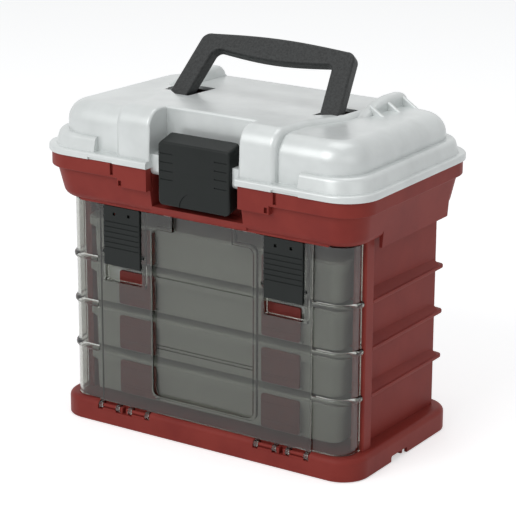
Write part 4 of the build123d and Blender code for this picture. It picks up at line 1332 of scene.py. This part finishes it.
@dataclass
class Tub:
    """Red tray under the lid: drafted body, rim band, latch bay and skirts."""

    bottom: float = 181.0
    band_z: float = 206.0
    top: float = 217.2
    band_half: Pair = (143.0, 87.2)
    band_corner: float = 26.0
    step: float = 4.0
    draw: float = 4.41
    wall: float = 2.4
    foot_round: float = 6.0
    lip_half: float = 112.0
    lip_drop: float = 1.2
    lip_back: float = 2.8
    bay_half: float = 41.0
    bay_floor: float = 187.0
    bay_back: float = -63.0
    ear_outer: float = 68.0
    ear_drop: float = 6.3
    ear_depth: float = 6.4
    catch_half: float = 24.0
    catch_y: float = -75.2
    catch_z: float = 196.0
    catch_thick: float = 2.6
    tongue_height: float = 3.0
    tongue_inset: float = 4.0
    tongue_wall: float = 1.8
    tongue_end: float = 42.7
    slot_x: Pair = (71.5, 74.5)
    hole_x: Pair = (63.9, 66.9)
    skirt_y: Pair = (-38.0, 62.5)
    skirt_drop: float = 7.0
    skirt_edge: float = 2.2
    hinge: Pair = (91.0, 211.0)
    hinge_x: float = 78.0
    lug_offset: float = 10.4
    lug_half: float = 3.0
    lug_radius: float = 3.6
    lug_root: float = 84.8
    hinge_bore: float = 1.65

    def body(self, inset: float) -> Piece:
        """Models the drafted body, or the space inside it.

        Args:
            inset: How far inside the outer face it lies, in mm; 0 is the outer face.

        Returns:
            The new mesh object.
        """
        x, y = (half - self.step - inset for half in self.band_half)
        low = self.bottom + inset
        high = self.top + 20 if inset else self.band_z
        draw = self.draw * (high - low) / (self.band_z - self.bottom)
        top_x, top_y = (half + (draw - self.draw if inset else 0) for half in (x, y))
        piece = block("tub_body", (-top_x, -top_y, low), (top_x, top_y, high))
        scale = ((x - self.draw) / top_x, (y - self.draw) / top_y, 1)
        spread(piece, lambda v: v.z < low + 1, scale, (0, 0, low))
        round_edges(piece, lambda m, d: abs(d.z) > 0.8, self.band_corner - self.step - inset, 12)
        round_edges(piece, lambda m, d: m.z < low + NEAR, self.foot_round - inset, 6)
        return piece

    def band(self) -> Piece:
        """Models the rim band that the lid's flange rests over.

        Returns:
            The new mesh object.
        """
        x, y = self.band_half
        piece = block("band", (-x, -y, self.band_z), (x, y, self.top))
        round_edges(piece, upright, self.band_corner, 12)
        round_edges(piece, lambda m, d: m.z < self.band_z + NEAR, 0.9, 3)
        return piece

    def tongue(self) -> Piece:
        """Models the ring inside the lid's flange, open at the latch bay.

        Returns:
            The new mesh object.
        """
        inset, wall = self.tongue_inset, self.tongue_wall
        x, y = (half - inset for half in self.band_half)
        ring = block("tongue", (-x, -y, self.top - 0.5), (x, y, self.top + self.tongue_height))
        round_edges(ring, upright, self.band_corner - inset, 12)
        bore = block("bore", (-x + wall, -y + wall, 0), (x - wall, y - wall, 400))
        round_edges(bore, upright, self.band_corner - inset - wall, 12)
        end = self.tongue_end
        return cut(ring, bore, block("gap", (-end, -200, self.top), (end, self.bay_back, 400)))

    def front_bay(self, tub: Piece) -> None:
        """Adds the latch bay's walls, ears and catch, and the door's lip.

        Args:
            tub: The hollow tub.
        """
        foot_y = -(self.band_half[1] - self.step - self.draw)
        lip_y = foot_y + self.lip_back
        low = (-self.lip_half, lip_y, self.bottom - self.lip_drop)
        lip = block("lip", low, (self.lip_half, lip_y + self.wall, self.bottom + self.wall + 2))
        round_edges(lip, lambda m, d: m.z < self.bottom and (m.y < foot_y + 3 or abs(d.y) > ALONG), 1.0, 3)
        half, back = self.bay_half + self.wall, self.bay_back + self.wall
        walls = block("bay_walls", (-half, foot_y, self.bottom + 1), (half, back, self.top))
        add(tub, lip, walls)
        rim_y = -self.band_half[1]
        for _, side in SIDES:
            low, high = (rim_y, self.band_z - self.ear_drop), (rim_y + self.ear_depth, self.top)
            ear = side_block("ear", side, self.bay_half, self.ear_outer, low, high)
            round_edges(ear, lambda m, d: m.z < self.band_z and m.y < rim_y + 1, 0.6, 2)
            add(tub, ear)
        cut(tub, block("bay", (-self.bay_half, -200, self.bay_floor), (self.bay_half, self.bay_back, 400)))
        half, z = self.catch_half, self.catch_z
        add(tub, block("catch", (-half, self.catch_y, z), (half, self.bay_back, z + self.catch_thick)))
        for _, side in SIDES:
            back = rim_y + self.wall
            slot = side_block("slot", side, *self.slot_x, (-200, self.top - 9), (back, 400))
            hole = side_block("hole", side, *self.hole_x, (-200, self.band_z - 5.2), (back, self.band_z - 1.1))
            cut(tub, slot, hole)

    def skirt(self, side: int) -> Piece:
        """Models the wall that hangs over one side panel, flush with the drafted side.

        Args:
            side: -1 for left, 1 for right.

        Returns:
            The new mesh object.
        """
        edge = self.band_half[0] - self.step - self.draw
        rise = self.foot_round + 1
        front, rear = self.skirt_y
        low, high = (front, self.bottom - self.skirt_drop), (rear, self.bottom + rise)
        skirt = side_block("skirt", side, edge - self.wall, edge, low, high)
        flare = self.draw * rise / (self.band_z - self.bottom) - 0.05
        shift(skirt, lambda v: v.z > self.bottom and abs(v.x) > edge - NEAR, (side * flare, 0, 0))
        outer = edge - NEAR
        round_edges(skirt, lambda m, d: abs(d.z) > ALONG and m.y > 0 and abs(m.x) > outer, self.skirt_edge, 4)
        return skirt

    def lug(self, tub: Piece, x: float) -> None:
        """Adds one hinge lug with its root and bore.

        Args:
            tub: The tub so far.
            x: The lug's middle in X.
        """
        y, z = self.hinge
        low, high = x - self.lug_half, x + self.lug_half
        ring = rod("lug", (low, high), y, z, self.lug_radius)
        root = block("root", (low, self.lug_root, z - self.lug_radius), (high, y, z + self.lug_radius))
        add(tub, ring, root)
        cut(tub, rod("bore", (low - NEAR, high + NEAR), y, z, self.hinge_bore))

    def build(self, finishes: Finishes) -> None:
        """Models and dresses the tub.

        Args:
            finishes: The cabinet's materials.
        """
        tub = add(self.body(0), self.band())
        cut(tub, self.body(self.wall))
        add(tub, *(self.skirt(side) for _, side in SIDES), self.tongue())
        self.front_bay(tub)
        for _, side in SIDES:
            for offset in (-self.lug_offset, self.lug_offset):
                self.lug(tub, side * self.hinge_x + offset)
        tub.name = "tub_moulding"
        hand_over(tub, "cabinet", "red_shell", finishes, "tub")


@dataclass
class Base:
    """Red base: upturned tray with hinge pockets, bars and foot notches."""

    half: Pair = (136.4, 77.1)
    height: float = 17.7
    corner: float = 22.0
    edge: float = 4.5
    wall: float = 2.6
    rib: float = 2.2
    rib_x: tuple[float, ...] = (-65.8, 0.0, 65.8)
    notch: tuple[float, float, float] = (-8.0, 24.0, 4.6)
    hinge: Pair = (-74.5, 14.5)
    pocket_x: Pair = (48.1, 97.8)
    pocket_rear: float = -71.2
    pocket_floor: float = 11.25
    bar_radius: float = 1.5
    bar_ends: Pair = (71.2, 74.7)
    pads: tuple[Pair, ...] = ((52.6, 65.2), (80.7, 93.3))

    def build(self, finishes: Finishes) -> None:
        """Models and dresses the base.

        Args:
            finishes: The cabinet's materials.
        """
        x, y = self.half
        base = block("base", (-x, -y, 0), (x, y, self.height))
        round_edges(base, upright, self.corner, 12)
        round_edges(base, lambda m, d: m.z > self.height - NEAR, self.edge, 6)
        round_edges(base, lambda m, d: m.z < NEAR, 0.5, 2)
        in_x, in_y, in_z = x - self.wall, y - self.wall, self.height - self.wall
        hollow = block("hollow", (-in_x, -in_y, -5), (in_x, in_y, in_z))
        round_edges(hollow, upright, self.corner - self.wall, 12)
        cut(base, hollow)
        half_rib = self.rib / 2
        for rib_x in self.rib_x:
            rib = block("rib", (rib_x - half_rib, -in_y - 0.2, 0), (rib_x + half_rib, in_y + 0.2, in_z + 0.2))
            add(base, rib)
        spine = block("spine_rib", (-in_x - 0.2, -half_rib, 0), (in_x + 0.2, half_rib, in_z + 0.2))
        add(base, spine)
        self.ends(base)
        for _, side in SIDES:
            self.hinge_pocket(base, side)
        base.name = "base_moulding"
        hand_over(base, "cabinet", "red_shell", finishes, "base")

    def ends(self, base: Piece) -> None:
        """Cuts the finger notches out of the two end walls.

        Args:
            base: The base so far.
        """
        middle, width, height = self.notch
        for _, side in SIDES:
            low, high = (middle - width / 2, -5), (middle + width / 2, height)
            notch = side_block("notch", side, self.half[0] - self.wall, self.half[0] + 5, low, high)
            round_edges(notch, lambda m, d: abs(d.x) > ALONG and m.z > 0, 1.5, 3)
            cut(base, notch)

    def hinge_pocket(self, base: Piece, side: int) -> None:
        """Makes one pocket in the front edge, with its bars, webs and pads.

        Args:
            base: The base so far.
            side: -1 for left, 1 for right.
        """
        near, far = self.pocket_x
        y, z = self.hinge
        floor, rear = self.pocket_floor, self.pocket_rear
        low, high = (2 - self.half[1], floor - self.wall), (rear + self.wall, self.height - 1)
        housing = side_block("housing", side, near - self.rib, far + self.rib, low, high)
        add(base, housing)
        pocket = side_block("pocket", side, near, far, (-200, floor), (rear, 100))
        cut(base, pocket)
        first, second = self.bar_ends
        parts = [
            rod("bar", (side * near, side * first), y, z, self.bar_radius),
            rod("bar", (side * second, side * far), y, z, self.bar_radius),
        ]
        for web_x in (first - self.rib / 2, second + self.rib / 2):
            low, high = (y - self.bar_radius, floor), (rear, z + self.bar_radius)
            parts.append(side_block("web", side, web_x - self.rib / 2, web_x + self.rib / 2, low, high))
        for pad in self.pads:
            low, high = (0.15 - self.half[1], floor - 0.3), (rear + 0.3, z - self.bar_radius)
            parts.append(side_block("pad", side, *pad, low, high))
        add(base, *parts)


@dataclass
class Rack:
    """Side and back panels: posts, wrapped ribs and box runners."""

    z: Pair = (17.7, 181.0)
    inner_x: float = 119.4
    outer_x: float = 121.6
    rib_edge: float = 130.0
    slant: float = 2.4
    post_y: Pair = (-52.0, -40.3)
    back_y: Pair = (61.6, 63.8)
    rib_levels: tuple[float, ...] = (57.35, 94.0, 130.65)
    rack_levels: tuple[float, ...] = (20.7, 57.35, 94.0, 130.65)
    rib_lip: float = 3.0
    rib_rise: float = 6.0
    rib_rear: float = 68.0
    runner_reach: float = 9.6
    runner_z: Pair = (0.1, 1.9)
    stiffener_x: float = 65.8
    stiffener: float = 2.2

    def side_rib(self, side: int, level: float) -> Piece:
        """Models one rib: lip below, slope above, round at the back.

        Args:
            side: -1 for left, 1 for right.
            level: The rib's lowest level.

        Returns:
            The new mesh object.
        """
        low, high = (self.post_y[1] - 0.5, level), (self.rib_rear, level + self.rib_lip)
        lip = side_block("rib", side, self.inner_x + 0.2, self.rib_edge, low, high)
        round_edges(lip, lambda m, d: abs(d.z) > ALONG and m.y > 60 and abs(m.x) > 125, 4.2, 5)
        round_edges(lip, lambda m, d: abs(m.x) > 124 and m.y > -40 and abs(d.z) < ACROSS, 0.8, 3)
        rise = self.rib_lip + self.rib_rise
        low, high = (self.post_y[1] - 0.5, level + 1), (self.back_y[0], level + rise)
        slope = side_block("slope", side, self.outer_x - 0.5, self.rib_edge - 1.2, low, high)
        lean = side * (self.outer_x - self.rib_edge + 1.2)
        shift(slope, lambda v: v.z > level + rise - 1 and abs(v.x) > 125, (lean, 0, 0))
        shift(slope, lambda v: v.z < level + 2, (0, 0, self.rib_lip - 1.2))
        return add(lip, slope)

    def side_panel(self, side_name: str, side: int, finishes: Finishes) -> None:
        """Models and dresses one side panel.

        Args:
            side_name: left or right.
            side: -1 for left, 1 for right.
            finishes: The cabinet's materials.
        """
        low, high = self.z
        front, rear = (self.post_y[1] - 1, low), (self.back_y[1], high)
        panel = side_block("panel", side, self.inner_x, self.outer_x, front, rear)
        shift(panel, lambda v: v.y > 0, (side * self.slant, 0, 0))
        front, rear = ((y, z) for y, z in zip(self.post_y, self.z))
        post = side_block("post", side, self.inner_x, self.rib_edge, front, rear)
        round_edges(post, lambda m, d: abs(d.z) > ALONG and abs(m.x) > 125, 1.2, 4)
        add(panel, post)
        add(panel, *(self.side_rib(side, level) for level in self.rib_levels))
        for level in self.rack_levels:
            under, over = (level + self.runner_z[0], level + self.runner_z[1])
            low_corner, high_corner = (self.post_y[1] - 0.5, under), (self.back_y[0], over)
            inner = self.inner_x - self.runner_reach
            runner = side_block("runner", side, inner, self.inner_x + 0.5, low_corner, high_corner)
            shift(runner, lambda v: v.y > 0 and abs(v.x) > self.inner_x, (side * self.slant, 0, 0))
            add(panel, runner)
        panel.name = f"side_panel_moulding_{side_name}"
        hand_over(panel, "cabinet", "red_shell", finishes, f"side_panel_{side_name}")

    def back(self, finishes: Finishes) -> None:
        """Models and dresses the back panel.

        Args:
            finishes: The cabinet's materials.
        """
        half = self.inner_x + self.slant
        low, high = self.z
        panel = block("back", (-half, self.back_y[0], low), (half, self.back_y[1], high))
        for level in self.rib_levels:
            rib_top = level + self.rib_lip
            rib = block("rib", (-half, self.back_y[1] - 0.5, level), (half, self.rib_rear, rib_top))
            round_edges(rib, lambda m, d: abs(d.x) > ALONG and m.y > self.rib_rear - NEAR, 0.8, 3)
            add(panel, rib)
        for x in (-self.stiffener_x, self.stiffener_x):
            half, rear = self.stiffener / 2, self.back_y[1] + self.stiffener
            add(panel, block("stiffener", (x - half, self.back_y[1] - 0.5, low), (x + half, rear, high)))
        panel.name = "back_panel_moulding"
        hand_over(panel, "cabinet", "red_shell", finishes, "back_panel")

    def build(self, finishes: Finishes) -> None:
        """Models and dresses both side panels and the back.

        Args:
            finishes: The cabinet's materials.
        """
        for side_name, side in SIDES:
            self.side_panel(side_name, side, finishes)
        self.back(finishes)


@dataclass
class BoxLatches:
    """Red front latches of the four utility boxes, modelled once and copied."""

    count: int = 4
    first_z: float = 25.4
    pitch: float = 36.65
    height: float = 27.0
    x: Pair = (48.8, 82.8)
    y: Pair = (-66.0, -64.3)

    def pattern(self) -> Piece:
        """Models one latch: rounded plate with a finger ridge and a hinge line.

        Returns:
            The new mesh object.
        """
        low, high = self.first_z, self.first_z + self.height
        plate = block("box_latch", (self.x[0], self.y[0], low), (self.x[1], self.y[1], high))
        round_edges(plate, lambda m, d: abs(d.y) > ALONG, 2.0, 4)
        round_edges(plate, lambda m, d: m.y < self.y[0] + NEAR, 0.4, 2)
        for z in (low + 5.0, low + 7.0, high - 6.5):
            corner = (self.x[1] - 2, self.y[0] + 0.4, z + 0.8)
            groove = block("groove", (self.x[0] + 2, self.y[0] - 1, z), corner)
            cut(plate, groove)
        return plate

    def build(self, finishes: Finishes) -> None:
        """Copies the latch to each box, left and right, and dresses it.

        Args:
            finishes: The cabinet's materials.
        """
        pattern = self.pattern()
        for number in range(1, self.count + 1):
            for side_name, side in SIDES:
                copy = pattern.copy()
                copy.data = pattern.data.copy()
                copy.name = f"box_latch_plate_{number}_{side_name}"
                bpy.context.scene.collection.objects.link(copy)
                shove = 0 if side > 0 else -(self.x[0] + self.x[1])
                copy.location = (shove * MM, 0, (number - 1) * self.pitch * MM)
                settle(copy, copy.name)
                hand_over(copy, f"box_{number}", "red_latch", finishes, f"box_latch_{number}_{side_name}")
        bpy.data.objects.remove(pattern)


class Cabinet:
    """Every piece of the cabinet, built in order."""

    def __init__(self, finishes: Finishes) -> None:
        """Keeps the finishes that the pieces share.

        Args:
            finishes: The cabinet's materials.
        """
        self.finishes = finishes

    def dress_frame(self) -> None:
        """Gives each CAD node that stays its finish by its recorded slot."""
        for entry in frame["record"]["subparts"]:
            self.finishes.dress(frame["nodes"][entry["node"]], entry["material_slot"])

    def build(self) -> None:
        """Builds the sub-assemblies one after another."""
        self.dress_frame()
        for part in (Base(), Rack(), Tub(), Lid(), LidLatch(), Handle(), Door()):
            part.build(self.finishes)
        for side_name, side in SIDES:
            DoorLatch().build(side_name, side, self.finishes)
        BoxLatches().build(self.finishes)


# ---------------------------------------------------------------------------
# Studio
# ---------------------------------------------------------------------------
@dataclass(frozen=True)
class Studio:
    """Floor, soft light and the camera at the photograph's angle."""

    azimuth: float = 33.19
    elevation: float = 17.49
    roll: float = 0.22
    lens_mm: float = 151.92
    distance: float = 1688.2
    target: Point = (0.0, 0.0, 150.0)
    offset_right: float = 1.7
    offset_up: float = -16.5
    lamps: tuple[tuple[str, Point, float, float], ...] = (
        ("key", (-350, -1600, 1300), 1200, 15.5),
        ("fill", (1500, -600, 700), 1000, 1.5),
        ("top", (0, 300, 1900), 1200, 6.5),
    )

    def camera(self) -> None:
        """Places the camera."""
        a, e, r = radians(self.azimuth), radians(self.elevation), radians(self.roll)
        back = Vector((sin(a) * cos(e), -cos(a) * cos(e), sin(e)))
        level = Vector((cos(a), sin(a), 0))
        rise = back.cross(level)
        right = cos(r) * level + sin(r) * rise
        up = -sin(r) * level + cos(r) * rise
        place = Vector(self.target) + right * self.offset_right + up * self.offset_up + back * self.distance
        data = bpy.data.cameras.new("camera")
        data.lens = self.lens_mm
        data.sensor_width = 36.0
        data.clip_start, data.clip_end = 0.1, 20.0
        camera = bpy.data.objects.new("camera", data)
        bpy.context.scene.collection.objects.link(camera)
        turn = Matrix((right, up, back)).transposed().to_4x4()
        camera.matrix_world = Matrix.Translation(place * MM) @ turn
        bpy.context.scene.camera = camera

    def lamp(self, name: str, place: Point, size: float, power: float) -> None:
        """Adds a soft square lamp that faces the cabinet.

        Args:
            name: The lamp's name.
            place: Its place in mm.
            size: Its side in mm.
            power: Its power in watts.
        """
        data = bpy.data.lights.new(name, "AREA")
        data.energy = power
        data.size = size * MM
        lamp = bpy.data.objects.new(name, data)
        bpy.context.scene.collection.objects.link(lamp)
        lamp.location = Vector(place) * MM
        aim = Vector(self.target) * MM - lamp.location
        lamp.rotation_euler = aim.to_track_quat("-Z", "Y").to_euler()

    def world(self) -> None:
        """Makes a world that is white to the eye and soft to the object."""
        world = bpy.data.worlds.new("studio")
        bpy.context.scene.world = world
        world.use_nodes = True
        tree = world.node_tree
        light = tree.nodes["Background"]
        light.inputs["Color"].default_value = linear("#f4f6f8")
        light.inputs["Strength"].default_value = 0.42
        seen = add_node(tree, "Background", {"Color": (1, 1, 1, 1), "Strength": 1.0})
        path = add_node(tree, "LightPath")
        mix = add_node(tree, "MixShader", {}, {0: self.sight(tree, path)})
        tree.links.new(light.outputs["Background"], mix.inputs[1])
        tree.links.new(seen.outputs["Background"], mix.inputs[2])
        tree.links.new(mix.outputs["Shader"], tree.nodes["World Output"].inputs["Surface"])

    def sight(self, tree: bpy.types.NodeTree, path: bpy.types.Node) -> bpy.types.NodeSocket:
        """Sums camera, glossy and transmission rays.

        Args:
            tree: The tree to add to.
            path: Its Light Path node.

        Returns:
            The socket that is 1 for those rays.
        """
        rays = [path.outputs[f"Is {ray} Ray"] for ray in ("Camera", "Glossy", "Transmission")]
        first = add_node(tree, "Math", {"operation": "MAXIMUM"}, dict(enumerate(rays[:2])))
        both = add_node(tree, "Math", {"operation": "MAXIMUM"}, {0: first.outputs["Value"], 1: rays[2]})
        return both.outputs["Value"]

    def floor(self) -> None:
        """Adds the pale floor, which keeps the object's shadow."""
        deselect()
        bpy.ops.mesh.primitive_plane_add(size=12, location=(0, 0, -0.0005))
        floor = settle(bpy.context.object, "floor")
        material, tree, shader = blank_material("paper_white")
        tree.nodes.remove(shader)
        paper = add_node(tree, "BsdfDiffuse", {"Color": linear("#f2f2f2")}).outputs["BSDF"]
        glow = add_node(tree, "Emission", {"Color": (1, 1, 1, 1), "Strength": 0.5}).outputs["Emission"]
        both = add_node(tree, "AddShader", {}, {0: paper, 1: glow}).outputs["Shader"]
        sight = self.sight(tree, add_node(tree, "LightPath"))
        seen = add_node(tree, "MixShader", {}, {0: sight, 1: paper, 2: both})
        tree.links.new(seen.outputs["Shader"], tree.nodes["Material Output"].inputs["Surface"])
        floor.data.materials.append(material)

    def build(self) -> None:
        """Sets up camera, lamps, world and floor."""
        self.camera()
        self.floor()
        self.world()
        for lamp in self.lamps:
            self.lamp(*lamp)
        bpy.context.scene.view_settings.view_transform = "Standard"


def main() -> None:
    """Builds the studio and the cabinet."""
    logging.basicConfig(level=logging.INFO, format="%(message)s")
    Studio().build()
    Cabinet(Finishes()).build()


if __name__ == "__main__":
    main()
